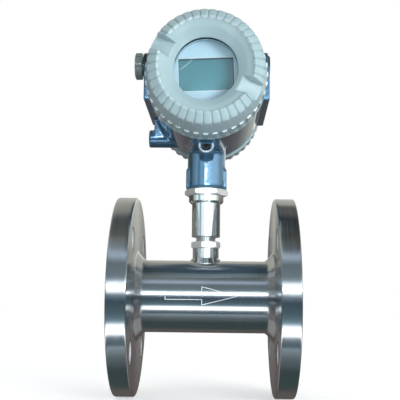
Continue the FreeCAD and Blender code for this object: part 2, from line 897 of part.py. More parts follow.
def make_housing():
    """Cast housing: barrel, neck, conduit bosses and lugs fused, then bored out."""
    end = barrel_end
    radius = barrel_radius
    thread = thread_radius
    reach = end + size.spigot_thread_length
    edge = size.barrel_edge
    groove = thread - size.seal_thick
    width = size.seal_thick + 2 * size.seal_side_gap
    barrel = turned_y("barrel_blank", [
        (0 - reach, 0),
        (0 - reach, thread - edge),
        (edge - reach, thread),
        (0 - end - width, thread),
        (0 - end - width, groove),
        (0 - end, groove),
        (0 - end, radius - edge),
        (edge - end, radius),
        (end - edge, radius),
        (end, radius - edge),
        (end, groove),
        (end + width, groove),
        (end + width, thread),
        (reach - edge, thread),
        (reach, thread - edge),
        (reach, 0),
    ])

    blocks = new_body("conduit_blocks")
    side = new_sketch(blocks, "YZ_Plane", "block_side")
    low = 0 - size.block_drop
    outline(side, [(0 - end, low), (end, low), (end, size.block_rise), (0 - end, size.block_rise)])
    pad(blocks, side, 2 * size.block_face, both_ways=True)
    boss = new_sketch(blocks, "YZ_Plane", "conduit_boss")
    circle(boss, 0 - size.conduit_offset, size.conduit_rise, size.conduit_boss_dia)
    blocks.Tip = pad(blocks, boss, 2 * size.block_face, both_ways=True)

    saddle = new_body("saddle")
    floor = new_sketch(saddle, "XY_Plane", "saddle_floor", offset=0 - size.saddle_drop)
    front = 0 - size.saddle_front
    outline(floor, [
        (size.saddle_tip_width / 2, front),
        (size.saddle_root_width / 2, 0),
        (0 - size.saddle_root_width / 2, 0),
        (0 - size.saddle_tip_width / 2, front),
    ])
    saddle.Tip = pad(saddle, floor, size.saddle_height)

    lug = new_body("jam_lug")
    outer = size.lug_dia / 2
    face = new_sketch(lug, "XZ_Plane", "lug_face", offset=size.lug_reach)
    circle(face, 0, 0 - size.lug_drop, size.lug_dia)
    back = new_sketch(lug, "XZ_Plane", "lug_back", offset=size.lug_root)
    circle(back, 0, 0 - size.lug_drop - size.lug_tail_drop, size.lug_tail_dia)
    tail = lug.newObject("PartDesign::AdditiveLoft", "lug_tail")
    tail.Profile = face
    tail.Sections = [back]
    upright = new_sketch(lug, "XZ_Plane", "lug_upright", offset=size.lug_reach)
    outline(upright, [
        (outer, 0 - size.lug_drop),
        (outer, 0 - radius),
        (0 - outer, 0 - radius),
        (0 - outer, 0 - size.lug_drop),
    ])
    pad(lug, upright, size.lug_reach - size.lug_root, reverse=True)
    recess = new_sketch(lug, "XZ_Plane", "lug_recess", offset=size.lug_reach)
    circle(recess, 0, 0 - size.lug_drop, size.lug_dia - 2 * size.lug_rim)
    lug.Tip = pocket(lug, recess, depth=size.lug_recess)

    pieces = [barrel, blocks, saddle, lug]
    for piece in pieces:
        on_head(piece)
    neck = rod("neck", size.neck_dia, size.head_rise - neck_base, x=middle, z=neck_base)
    pads = box(
        "neck_pads",
        (middle - size.neck_pad_reach, 0 - size.neck_pad_width / 2, neck_base),
        (middle + size.neck_pad_reach, size.neck_pad_width / 2, neck_base + size.neck_pad_height),
    )
    earth_rise = size.head_rise - size.earth_drop
    earth = rod(
        "earth_boss", size.earth_boss_dia, size.earth_boss_reach,
        x=middle - size.earth_boss_reach, y=size.earth_offset, z=earth_rise, axis="X",
    )
    web = box(
        "earth_web",
        (middle - size.earth_web_reach, size.earth_offset - size.earth_boss_dia / 2, earth_rise),
        (middle, size.earth_offset + size.earth_boss_dia / 2, size.head_rise - size.block_drop),
    )
    solid = fused("housing_solid", pieces + [neck, pads, earth, web])

    divider = size.divider_place
    front_chamber = rod(
        "front_chamber", size.chamber_dia, reach - divider,
        x=middle, y=0 - reach, z=size.head_rise, axis="Y",
    )
    rear_start = size.divider_thick - divider
    rear_chamber = rod(
        "rear_chamber", size.chamber_dia, reach - rear_start,
        x=middle, y=rear_start, z=size.head_rise, axis="Y",
    )
    spigot_hole = rod(
        "spigot_hole", size.spigot_dia + 2 * size.swivel_gap, size.spigot_depth + size.spigot_room,
        x=middle, z=neck_base,
    )
    passage = rod("neck_passage", size.neck_passage, size.head_rise - neck_base, x=middle, z=neck_base)
    conduits = rod(
        "conduit_holes", size.conduit_thread, 2 * (size.block_face + past),
        x=middle - size.block_face - past, y=0 - size.conduit_offset,
        z=size.head_rise + size.conduit_rise, axis="X",
    )
    jam = rod(
        "jam_hole", size.jam_hole, size.lug_reach - size.neck_dia / 2,
        x=middle, y=0 - size.lug_reach, z=size.head_rise - size.lug_drop, axis="Y",
    )
    earth_tap = rod(
        "earth_hole", size.earth_hole, size.earth_hole_depth,
        x=middle - size.earth_boss_reach, y=size.earth_offset, z=earth_rise, axis="X",
    )
    hollows = fused("housing_hollows", [
        front_chamber, rear_chamber, spigot_hole, passage, conduits, jam, earth_tap,
    ])
    return cut("housing_body", solid, hollows)


def make_cover(label, facing, profile, wrench_floor, wrench_top, shoulder, crown):
    """Screwed cap: turned outline, a toothed ring by its mouth, ribs on its bevel and two wrench slots."""
    body = new_body(label)
    revolve(body, "YZ_Plane", "H_Axis", [(place_out * facing, *rest) for place_out, *rest in profile])
    wall = cover_radius
    lip = size.cover_lip
    beyond = tooth_radius + past

    gap = new_sketch(body, "YZ_Plane", label + "_tooth_gap")
    outline(gap, [
        (lip * facing, wall),
        (tooth_end * facing, wall),
        (tooth_end * facing, beyond),
        (lip * facing, beyond),
    ])
    teeth = pocket(body, gap, depth=size.knurl_gap, both_ways=True)
    around(body, [teeth], "Y_Axis", size.knurl_count)

    groove = new_sketch(body, "YZ_Plane", label + "_rib_groove")
    depth = size.rib_depth
    outline(groove, [
        ((crown[0] - depth) * facing, crown[1] - depth / 2),
        ((crown[0] + past) * facing, crown[1] - depth / 2),
        ((crown[0] + past) * facing, beyond),
        ((shoulder[0] - depth) * facing, beyond),
        ((shoulder[0] - depth) * facing, shoulder[1] - depth / 2),
    ])
    ribs = pocket(body, groove, depth=size.rib_slot, both_ways=True)
    around(body, [ribs], "Y_Axis", size.knurl_count)

    slot = new_sketch(body, "XY_Plane", label + "_wrench_slot")
    inner = size.window_dia / 2 + size.wrench_start
    outline(slot, [
        (inner, wrench_floor * facing),
        (beyond, wrench_floor * facing),
        (beyond, wrench_top * facing),
        (inner, wrench_top * facing),
    ])
    notch = pocket(body, slot, depth=size.wrench_width, both_ways=True)
    around(body, [notch], "Y_Axis", 2)
    on_head(body, y=barrel_end * facing, axis=(0, 1, 0), turn=size.cover_turn)
    return body


def cover_mouth():
    """Corners that both covers share: the mouth's rim and the outside up to the plain wall."""
    return [(0, tooth_radius), (tooth_end, tooth_radius), (tooth_end, cover_radius)]


def make_front_cover():
    window = size.window_dia / 2
    crown = window_out + size.dish_depth
    shoulder = crown - size.crown_rise
    glass = glass_radius
    boss = glass + size.glass_boss_wall
    shelf = window_out - size.window_lip
    base = shelf - size.gasket_thick - size.glass_thick - size.glass_ring_thick
    ring = size.window_ring
    bevel = size.window_bevel
    profile = cover_mouth() + [
        (shoulder, shoulder_radius),
        (crown, crown_radius),
        (window_out + ring, window + bevel + ring),
        (window_out + ring, window + bevel),
        (window_out, window),
        (shelf, window),
        (shelf, glass),
        (base, glass),
        (base, boss),
        (size.cover_cavity_length, boss),
        (size.cover_cavity_length, cavity_radius),
        (size.cover_thread_length, cavity_radius),
        (size.cover_thread_length, cover_bore),
        (0, cover_bore),
    ]
    return make_cover(
        "front_cover", -1, profile, window_out, crown + past,
        (shoulder, shoulder_radius), (crown, crown_radius),
    )


def make_rear_cover():
    wall_end = tooth_end + size.rear_cover_wall
    crown = wall_end + size.crown_rise
    roof = crown - size.rear_cover_roof
    profile = cover_mouth() + [
        (wall_end, shoulder_radius),
        (crown, crown_radius),
        (crown, 0),
        (roof, 0),
        (roof, crown_radius),
        (roof - size.rear_roof_step, cavity_radius),
        (size.cover_thread_length, cavity_radius),
        (size.cover_thread_length, cover_bore),
        (0, cover_bore),
    ]
    return make_cover(
        "rear_cover", 1, profile, crown - size.rear_wrench_depth, crown + past,
        (wall_end, shoulder_radius), (crown, crown_radius),
    )


def make_seal(label, facing):
    """Round sealing ring in the groove behind a cover's mouth."""
    start = (barrel_end + size.seal_side_gap) * facing
    end = start + size.seal_thick * facing
    inner = thread_radius - size.seal_thick
    return on_head(turned_y(label, seal_section(start, end, inner)))


def seal_section(start, end, inner):
    """Section of a pressed sealing ring: as high as it is wide, with its corners squeezed flat."""
    outer = inner + size.seal_thick
    corner = size.seal_corner if end.value > start.value else 0 - size.seal_corner
    return [
        (start, inner + size.seal_corner),
        (start, outer - size.seal_corner),
        (start + corner, outer),
        (end - corner, outer),
        (end, outer - size.seal_corner),
        (end, inner + size.seal_corner),
        (end - corner, inner),
        (start + corner, inner),
    ]


def make_window():
    """Glass with its gasket in front and the screwed ring behind that clamps both."""
    outer = glass_radius - size.fit_gap
    inner = glass_radius - size.glass_ring_width
    shelf = 0 - barrel_end - window_out + size.window_lip
    front = shelf + size.gasket_thick
    back = front + size.glass_thick
    end = back + size.glass_ring_thick
    gasket = turned_y("window_gasket", [(shelf, inner), (shelf, outer), (front, outer), (front, inner)])
    glass = turned_y("window_glass", [(front, 0), (front, outer), (back, outer), (back, 0)])
    ring = turned_y("glass_retaining_ring", [(back, inner), (back, outer), (end, outer), (end, inner)])
    notch = new_sketch(ring, "XY_Plane", "spanner_notch")
    half = size.spanner_notch / 2
    outline(notch, [
        (inner - past, end - half),
        (outer + past, end - half),
        (outer + past, end + past),
        (inner - past, end + past),
    ])
    notches = pocket(ring, notch, depth=size.spanner_notch, both_ways=True)
    around(ring, [notches], "Y_Axis", 2)
    return [on_head(piece) for piece in (gasket, glass, ring)]


def plate(label, half_width, half_height, start, thick, drop=0):
    """Rectangular plate square to the head's axis, from start along +Y."""
    body = new_body(label)
    sketch = new_sketch(body, "XZ_Plane", label + "_edge", offset=0 - start)
    outline(sketch, [
        (0 - half_width, 0 - drop - half_height),
        (half_width, 0 - drop - half_height),
        (half_width, half_height - drop),
        (0 - half_width, half_height - drop),
    ])
    pad(body, sketch, thick, reverse=True)
    return body


def group(label, shapes):
    """Separate like solids that share one node."""
    compound = doc.addObject("Part::Compound", label)
    compound.Links = shapes
    compound.Label = label
    return compound


def make_display():
    """Bezel with its display panel, the round board behind it and the board's three pillars."""
    front = 0 - size.bezel_place
    back = front + size.bezel_thick
    board_front = back + size.display_board_gap
    board_back = board_front + size.board_thick
    outer = bezel_radius
    rim = size.bezel_edge
    bezel = turned_y("display_bezel", [
        (front, 0), (front, outer - rim), (front + rim, outer), (back, outer), (back, 0),
    ])
    pillar = new_sketch(bezel, "XZ_Plane", "bezel_pillar", offset=0 - back)
    circle(pillar, 0, standoff_radius, size.standoff_dia)
    post = pad(bezel, pillar, size.display_board_gap, reverse=True)
    around(bezel, [post], "Y_Axis", 3)
    width = size.lcd_width / 2
    height = size.lcd_height / 2
    opening = new_sketch(bezel, "XZ_Plane", "lcd_opening", offset=0 - front)
    gap = size.fit_gap
    outline(opening, [
        (0 - width - gap, 0 - size.lcd_drop - height - gap),
        (width + gap, 0 - size.lcd_drop - height - gap),
        (width + gap, height - size.lcd_drop + gap),
        (0 - width - gap, height - size.lcd_drop + gap),
    ])
    bezel.Tip = pocket(bezel, opening, depth=size.lcd_sink + size.lcd_thick)
    panel = plate("lcd_panel", width, height, front + size.lcd_sink, size.lcd_thick, size.lcd_drop)
    board = turned_y("display_board", [
        (board_front, 0),
        (board_front, display_board_radius),
        (board_back, display_board_radius),
        (board_back, 0),
    ])
    for piece in (bezel, panel, board):
        on_head(piece, axis=(0, 1, 0), turn=0 - size.display_turn)
    pillars = []
    for index in range(3):
        angle = math.radians(90 + 120 * index + size.display_turn.value)
        pillars.append(rod(
            f"display_pillar_{index + 1}", size.standoff_dia, 0 - size.divider_place - board_back,
            x=middle + standoff_radius * math.cos(angle), y=board_back,
            z=size.head_rise + standoff_radius * math.sin(angle), axis="Y",
        ))
    return [bezel, panel, board, group("display_standoffs", pillars)]


def make_wiring():
    """Main board on four pillars behind the divider, with its screws and the terminal block."""
    wall = size.divider_thick - size.divider_place
    board_front = wall + size.main_board_gap
    board_back = board_front + size.board_thick
    half_width = size.main_board_width / 2
    half_height = size.main_board_height / 2
    board = plate("main_board", half_width, half_height, board_front, size.board_thick)
    block = plate(
        "terminal_block", size.terminal_width / 2, size.terminal_height / 2,
        board_back, size.terminal_depth,
    )
    ledge = new_sketch(block, "XZ_Plane", "terminal_ledge", offset=0 - board_back - size.terminal_depth)
    outline(ledge, [
        (0 - size.terminal_width, 0 - size.terminal_height),
        (size.terminal_width, 0 - size.terminal_height),
        (size.terminal_width, 0),
        (0 - size.terminal_width, 0),
    ])
    block.Tip = pocket(block, ledge, depth=size.terminal_step)
    on_head(board)
    on_head(block)
    pillars, heads = [], []
    for across in (-1, 1):
        for up in (-1, 1):
            x = middle + (half_width - size.main_hole_inset) * across
            z = size.head_rise + (half_height - size.main_hole_inset) * up
            number = len(pillars) + 1
            pillars.append(rod(
                f"main_pillar_{number}", size.standoff_dia, size.main_board_gap,
                x=x, y=wall, z=z, axis="Y",
            ))
            heads.append(rod(
                f"board_screw_{number}", size.board_screw_dia, size.board_screw_head,
                x=x, y=board_back, z=z, axis="Y",
            ))
    screws = []
    count = int(size.terminal_count.value)
    for index in range(count):
        screws.append(rod(
            f"terminal_screw_{index + 1}", size.terminal_screw_dia, size.terminal_screw_head,
            x=middle + size.terminal_pitch * (index - (count - 1) / 2),
            y=board_back + size.terminal_depth,
            z=size.head_rise + size.terminal_height / 4, axis="Y",
        ))
    return [
        board, block,
        group("main_board_standoffs", pillars),
        group("board_screws", heads),
        group("terminal_screws", screws),
    ]


def make_conduit_plug():
    """Plug for the left conduit: a gripped round head, a plain neck and a threaded shank."""
    face = size.block_face
    seal_end = face + size.seal_thick
    head_start = seal_end + size.plug_standoff
    head_end = head_start + size.plug_head_length
    head = size.plug_head_dia / 2
    shank = size.conduit_thread / 2 - size.fit_gap
    crown = size.plug_crown
    body = turned_x("conduit_plug", [
        (size.plug_thread_length - face, 0),
        (size.plug_thread_length - face, shank),
        (0 - head_start, shank),
        (0 - head_start, head - crown),
        (0 - head_start - crown, head),
        (0 - head_end + crown, head),
        (0 - head_end, head - crown * 2),
        (0 - head_end - crown, 0),
    ])
    grip = new_sketch(body, "XZ_Plane", "plug_grip")
    outline(grip, [
        (0 - head_end - past, head - size.plug_grip_depth),
        (past - head_start, head - size.plug_grip_depth),
        (past - head_start, head + past),
        (0 - head_end - past, head + past),
    ])
    grips = pocket(body, grip, depth=size.plug_grip_width, both_ways=True)
    around(body, [grips], "X_Axis", size.plug_grips)
    seal = turned_x("conduit_plug_seal", seal_section(0 - seal_end, 0 - face, head - size.seal_thick))
    for piece in (body, seal):
        place(piece, x=middle, y=0 - size.conduit_offset, z=size.head_rise + size.conduit_rise)
    return [body, seal]


def make_blanking_plug():
    """Low plug in the right conduit with a hexagon key socket."""
    face = size.block_face
    head = size.blank_plug_dia / 2
    proud = size.blank_plug_proud
    shank = size.conduit_thread / 2 - size.fit_gap
    body = turned_x("blanking_plug", [
        (face - size.plug_thread_length, 0),
        (face - size.plug_thread_length, shank),
        (face, shank),
        (face, head),
        (face + proud / 2, head),
        (face + proud, head - proud / 2),
        (face + proud, 0),
    ])
    key_socket(body, "YZ_Plane", face + proud, size.hex_key, size.key_depth)
    place(body, x=middle, y=0 - size.conduit_offset, z=size.head_rise + size.conduit_rise)
    return body


def key_socket(body, plane, offset, flats, depth):
    """Hexagon socket cut from a plane into the solid behind it."""
    sketch = new_sketch(body, plane, body.Name + "_key", offset=offset)
    corner = flats / math.sqrt(3)
    outline(sketch, [
        (corner, 0), (corner / 2, flats / 2), (0 - corner / 2, flats / 2),
        (0 - corner, 0), (0 - corner / 2, 0 - flats / 2), (corner / 2, 0 - flats / 2),
    ])
    body.Tip = pocket(body, sketch, depth=depth)


def make_jam_screw():
    """Set screw in the lug that stops the front cover from turning."""
    front = size.lug_recess - size.lug_reach
    outer = size.jam_hole / 2 - size.fit_gap
    end = front + size.jam_screw_length
    body = turned_y("cover_jam_screw", [(front, 0), (front, outer), (end, outer), (end, 0)])
    key_socket(body, "XZ_Plane", 0 - front, size.jam_key, size.jam_key_depth)
    place(body, x=middle, z=size.head_rise - size.lug_drop)
    return body


head_pieces = [
    make_housing(),
    make_front_cover(),
    make_rear_cover(),
    make_seal("front_cover_seal", -1),
    make_seal("rear_cover_seal", 1),
    *make_window(),
    *make_display(),
    *make_wiring(),
    *make_conduit_plug(),
    make_blanking_plug(),
    make_jam_screw(),
]

doc.recompute()

# Check and write
pieces = [inlet_flange, flow_tube, outlet_flange, *turbine_pieces, *stem_pieces, *head_pieces]
for item in doc.Objects:
    if "Invalid" in item.State or "Error" in item.State:
        raise RuntimeError(f"{item.Label} did not build: {item.State}")
for piece in pieces:
    if piece.Shape.isNull() or not piece.Shape.isValid():
        raise RuntimeError(f"{piece.Label} has no sound shape")

os.makedirs("parts", exist_ok=True)
for piece in pieces:
    piece.Shape.exportStep(f"parts/{piece.Label}.step")
    print(f"{piece.Label}: {piece.Shape.Volume:.0f} cubic mm")
print(f"{len(pieces)} sub-parts")
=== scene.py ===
# %% [markdown]
# A liquid turbine flow meter, dressed for its picture
#
# The meter is a turned steel flow line with two flanges, a polished stem, and a painted display head.
# The frame holds every piece at its real size, in metres, with the flow along +X, the stem along +Z and
# the display looking along -Y. This script gives each piece its finish, remakes the cast and moulded
# pieces whose soft edges matter, and adds the small surface work that a frame leaves out.

import json
import math
from contextlib import contextmanager

import bmesh
import bpy
import numpy as np
from mathutils import Matrix, Vector


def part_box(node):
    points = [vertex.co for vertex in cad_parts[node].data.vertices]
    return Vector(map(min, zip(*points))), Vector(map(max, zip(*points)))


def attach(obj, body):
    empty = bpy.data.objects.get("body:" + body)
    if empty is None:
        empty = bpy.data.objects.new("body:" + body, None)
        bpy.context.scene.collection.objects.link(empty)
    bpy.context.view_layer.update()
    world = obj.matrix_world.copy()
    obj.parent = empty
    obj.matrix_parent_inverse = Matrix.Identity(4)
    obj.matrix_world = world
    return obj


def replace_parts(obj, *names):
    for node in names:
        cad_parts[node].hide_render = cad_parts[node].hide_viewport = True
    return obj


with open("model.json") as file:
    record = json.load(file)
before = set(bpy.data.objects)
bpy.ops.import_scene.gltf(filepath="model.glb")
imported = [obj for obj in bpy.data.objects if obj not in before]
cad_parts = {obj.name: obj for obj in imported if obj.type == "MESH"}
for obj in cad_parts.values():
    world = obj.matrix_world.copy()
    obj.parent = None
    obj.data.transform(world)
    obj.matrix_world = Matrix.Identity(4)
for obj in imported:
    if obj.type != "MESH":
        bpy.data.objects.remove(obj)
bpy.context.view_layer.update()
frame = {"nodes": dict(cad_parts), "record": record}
nodes = frame["nodes"]
print("nodes in the frame:", len(nodes))

# %% [markdown]
# Most pieces are placed from a few axes. The pipe's axis is the frame's own X axis. The stem stands on the
# middle of the pipe, and the head's axis runs along Y through the middle of its window. Reading them from
# the frame's boxes keeps every new piece on what carries it.

# %% Axes and main places
MM = 0.001


def middle_of(node):
    low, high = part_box(node)
    return (low + high) / 2


def in_scene(name, data):
    """An object that holds the data, at the origin."""
    piece = bpy.data.objects.new(name, data)
    bpy.context.scene.collection.objects.link(piece)
    return piece


STEM_X = middle_of("stem_sleeve").x
HEAD_Z = middle_of("window_glass").z
HEAD_CENTRE = np.array((STEM_X, 0, HEAD_Z))
PIPE_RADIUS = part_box("flow_tube")[1].z
FLANGE_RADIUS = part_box("inlet_flange")[1].z
COVER_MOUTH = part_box("front_cover")[1].y
REAR_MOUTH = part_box("rear_cover")[0].y
METER_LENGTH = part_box("outlet_flange")[1].x
print(f"stem at x = {STEM_X:.4f} m, head's axis at z = {HEAD_Z:.4f} m, covers meet at {COVER_MOUTH:.4f} m")

# %% [markdown]
# The photograph is taken from just below the pipe's own height, looking up a little, so the head is seen
# from underneath. The camera's place and tilt were worked out from the two flanges, whose real diameter
# and spacing are known. The lens follows from the picture's width in pixels.

# %% Camera
PICTURE_WIDTH = 400
FOCAL_PIXELS = 765.45
SENSOR = 36.0
CAMERA_PLACE = Vector((0.08517, -0.64852, -0.00423))
YAW, PITCH, ROLL = 0.0239, 0.132, 0.0117


def make_camera():
    """Aims the camera with a small roll about the line of sight, then pitch up, then yaw about Z."""
    data = bpy.data.cameras.new("camera")
    data.sensor_width = SENSOR
    data.lens = SENSOR * FOCAL_PIXELS / PICTURE_WIDTH
    data.clip_start = 0.01
    data.clip_end = 20
    aim = Matrix.Rotation(YAW, 4, "Z") @ Matrix.Rotation(math.pi / 2 + PITCH, 4, "X")
    camera = in_scene("camera", data)
    camera.matrix_world = Matrix.Translation(CAMERA_PLACE) @ aim @ Matrix.Rotation(ROLL, 4, "Z")
    bpy.context.scene.camera = camera
    print(f"lens {data.lens:.1f} mm")


make_camera()

# %% [markdown]
# Shader nodes take many calls to lay out one by one. One small class keeps those calls short, so that a
# material reads as the sums it stands for.

# %% Short calls for shader nodes
WHITE = (1, 1, 1, 1)


class Nodes:
    """Lays out shader nodes in one tree. A value may be a socket, a number or a colour."""

    def __init__(self, tree):
        self.tree = tree

    def feed(self, target, value):
        """Links a socket, or sets a plain value on it."""
        if isinstance(value, bpy.types.NodeSocket):
            self.tree.links.new(value, target)
        else:
            target.default_value = value

    def lay(self, kind, *values, out=0, **settings):
        """Adds a node, feeds its first inputs, and gives one of its outputs, or the node if it has none."""
        node = self.tree.nodes.new("ShaderNode" + kind)
        for name, value in settings.items():
            setattr(node, name, value)
        for socket, value in zip(node.inputs, values):
            self.feed(socket, value)
        return node.outputs[out] if len(node.outputs) else node

    def named(self, kind, values):
        """Adds a node, feeds its inputs by name, and gives its first output."""
        output = self.lay(kind)
        for name, value in values.items():
            self.feed(output.node.inputs[name], value)
        return output

    def place(self):
        return self.lay("TexCoord", out="Object")

    def axes(self, vector):
        return self.lay("SeparateXYZ", vector).node.outputs

    def maths(self, operation, *values):
        return self.lay("Math", *values, operation=operation)

    def vector(self, operation, first, second, out=0):
        return self.lay("VectorMath", first, second, operation=operation, out=out)

    def times(self, first, *others):
        for other in others:
            first = self.maths("MULTIPLY", first, other)
        return first

    def length(self, across, up):
        """Distance from its two parts at right angles."""
        return self.maths("SQRT", self.maths("ADD", self.times(across, across), self.times(up, up)))

    def mix(self, share, first, second, blend="MIX"):
        node = self.lay("Mix", share, data_type="RGBA", blend_type=blend).node
        self.feed(node.inputs[6], first)
        self.feed(node.inputs[7], second)
        return node.outputs[2]

    def tint(self, colour, by, share=1.0):
        return self.mix(share, colour, by, blend="MULTIPLY")

    def span(self, value, low, high, to_low=0.0, to_high=1.0, smooth=True):
        """Runs from one value to another while the input runs from low to high, and stays there."""
        kind = "SMOOTHSTEP" if smooth else "LINEAR"
        return self.lay("MapRange", value, low, high, to_low, to_high, interpolation_type=kind)

    def between(self, value, rise, fall):
        """1 between two soft edges, each given by where it starts and ends."""
        return self.times(self.span(value, *rise), self.span(value, *fall, 1.0, 0.0))

    def noise(self, vector, scale, detail):
        """Noise by a vector, with the given scale and octaves."""
        return self.named("TexNoise", {"Vector": vector, "Scale": scale, "Detail": detail})

    def ramp(self, angle, limit, stops):
        """Colour by an angle from -limit to +limit, from (angle, red, green, blue) stops in order."""
        output = self.lay("ValToRGB", self.maths("MULTIPLY_ADD", angle, 0.5 / limit, 0.5))
        elements = output.node.color_ramp.elements
        elements.remove(elements[1])
        for index, (place, *colour) in enumerate(stops):
            share = (place + limit) / (2 * limit)
            element = elements[0] if index == 0 else elements.new(share)
            element.position = share
            element.color = (*colour, 1)
        return output

    def group(self, effect, *scales):
        """The outputs of a shared effect at the given scales, or at its own."""
        return self.lay("Group", *scales, node_tree=effect).node.outputs

    def shader(self):
        return self.tree.nodes["Principled BSDF"]

    def source(self, name):
        """What feeds an input of the shader so far."""
        return self.shader().inputs[name].links[0].from_socket

    def set(self, **values):
        """Feeds the shader's inputs, named with underscores for spaces."""
        for name, value in values.items():
            self.feed(self.shader().inputs[name.replace("_", " ")], value)

    def surface(self, shader):
        self.feed(self.tree.nodes["Material Output"].inputs[0], shader)


MATERIALS = {}


def new_material(name):
    """Adds a material to the table and gives its node tree."""
    MATERIALS[name] = bpy.data.materials.new(name)
    MATERIALS[name].use_nodes = True
    return Nodes(MATERIALS[name].node_tree)


# %% [markdown]
# Bright steel has almost no colour of its own: it shows the room. Turned steel in a studio shows long
# bands, because the strip lights and the dark gaps between them run along the pipe. So the room that
# glossy surfaces see is a sky of soft strips at chosen heights, while rough surfaces are lit by a plain
# pale dome. The camera itself sees white.

# %% Room for reflections
WHITE_STRIP = (2.1, 2.2, 2.25)
UPPER_STRIP = (1.45, 1.6, 1.66)

# Elevation in degrees and the light's colour there, in front of the object
FRONT_BANDS = [
    (-90, 0.06, 0.08, 0.09), (-70, 0.15, 0.19, 0.21), (-61, 0.30, 0.36, 0.40), (-58, 0.42, 0.52, 0.58),
    (-55.5, 0.09, 0.14, 0.17), (-45, 0.14, 0.20, 0.25), (-42.5, *WHITE_STRIP), (-32, *WHITE_STRIP),
    (-30.5, 0.55, 0.80, 1.0), (-27.5, 0.20, 0.32, 0.38), (-20, 0.12, 0.19, 0.22), (-6, 0.06, 0.10, 0.13),
    (1.5, 0.24, 0.32, 0.41), (3.5, *UPPER_STRIP), (14.5, *UPPER_STRIP), (16, 0.45, 0.56, 0.64),
    (20, 0.21, 0.28, 0.32), (36, 0.17, 0.22, 0.24), (44, 0.50, 0.62, 0.76), (49, 0.48, 0.58, 0.69),
    (54, 0.31, 0.38, 0.41), (63, 0.24, 0.26, 0.26), (70, 0.12, 0.13, 0.12), (90, 0.05, 0.06, 0.06),
]

# The same behind the object
BACK_BANDS = [
    (-58, 0.06, 0.09, 0.09), (-45, 0.14, 0.13, 0.12), (-8, 0.105, 0.09, 0.085), (-3, 0.17, 0.15, 0.15),
    (1, 0.30, 0.31, 0.29), (5, 0.50, 0.51, 0.46), (14, 0.62, 0.62, 0.56), (60, 0.42, 0.43, 0.38),
    (69, 0.28, 0.30, 0.29), (78, 0.07, 0.08, 0.09), (90, 0.06, 0.06, 0.07),
]

# Azimuth in degrees, from the camera's side and positive to the right, and a tint on the strips there
SIDE_TINTS = [
    (-180, 0.95, 0.95, 0.95), (-172, 0.75, 0.75, 0.75), (-164, 0.22, 0.22, 0.22), (-100, 0.12, 0.12, 0.11),
    (-92, 0.50, 0.54, 0.56), (-70, 0.48, 0.53, 0.56), (-58, 0.62, 0.68, 0.70), (-50, 0.20, 0.25, 0.27),
    (-43, 0.22, 0.27, 0.30), (-36, 0.62, 0.68, 0.70), (-14, 0.72, 0.75, 0.76), (-8, 1, 1, 1),
    (46, 1, 1, 1), (56, 0.80, 0.84, 0.88), (66, 0.42, 0.47, 0.50), (90, 0.28, 0.30, 0.31),
    (100, 0.07, 0.07, 0.06), (118, 0.07, 0.07, 0.06), (140, 0.20, 0.20, 0.20), (168, 0.9, 0.9, 0.9),
    (180, 0.95, 0.95, 0.95),
]

# Soft edges from here on are pairs of degrees, where each starts and ends
BEHIND = (55, 100)
TINTED_HEIGHTS = (-1, 2.5), (16, 26)

# To the right and from these heights up, a slightly brighter tint takes the side tints' place
OPEN_SIDE, OPEN_HEIGHT, OPEN_TINT = (24, 32), (7.7, 8.6), (1.15, 1.15, 1.15, 1)

# High up the right side is darker, and the head darkens what the pipe's top shows, less so straight above
HIGH, OVERHEAD, OVERHEAD_RETURN = (44, 54), (58, 74), 0.6
RIGHT_SIDE, RIGHT_SHADE = (2, 6), (0.55, 0.55, 0.55, 1)
HEAD_SIDE, HEAD_SHADE = (-5.5, -3.5), (0.4, 0.4, 0.4, 1)

# More light from both sides at the heights that only the neck sees
NECK_HEIGHTS, NECK_SIDE, NECK_LIFT = ((8.4, 9.2), (11.4, 12.2)), (14, 24), (1.6, 1.65, 1.7, 1)

# A pale wall on either side, which only surfaces that face sideways see
WALL_SIDES, WALL_HEIGHTS, WALL_LIGHT = ((96, 112), (140, 160)), ((-50, -30), (-2, 3)), (0.4, 0.4, 0.4, 1)

# A bright window whose right edge slants from one azimuth to another over its height
WINDOW_LEFT, WINDOW_RIGHT, WINDOW_SOFT = (-10.5, -9), (31, -6), (-1.5, 1.5)
WINDOW_SLANT, WINDOW_HEIGHTS, WINDOW_LIGHT = (7.6, 9.9), ((6.8, 7.6), (9.8, 10.3)), (20, 20, 20, 1)

# The dome that rough surfaces see, from low to high over this range of a ray's Z
DOME_RISE, DOME_LOW, DOME_HIGH = (-0.9, 0.6), (0.44, 0.45, 0.46, 1), (0.66, 0.675, 0.685, 1)


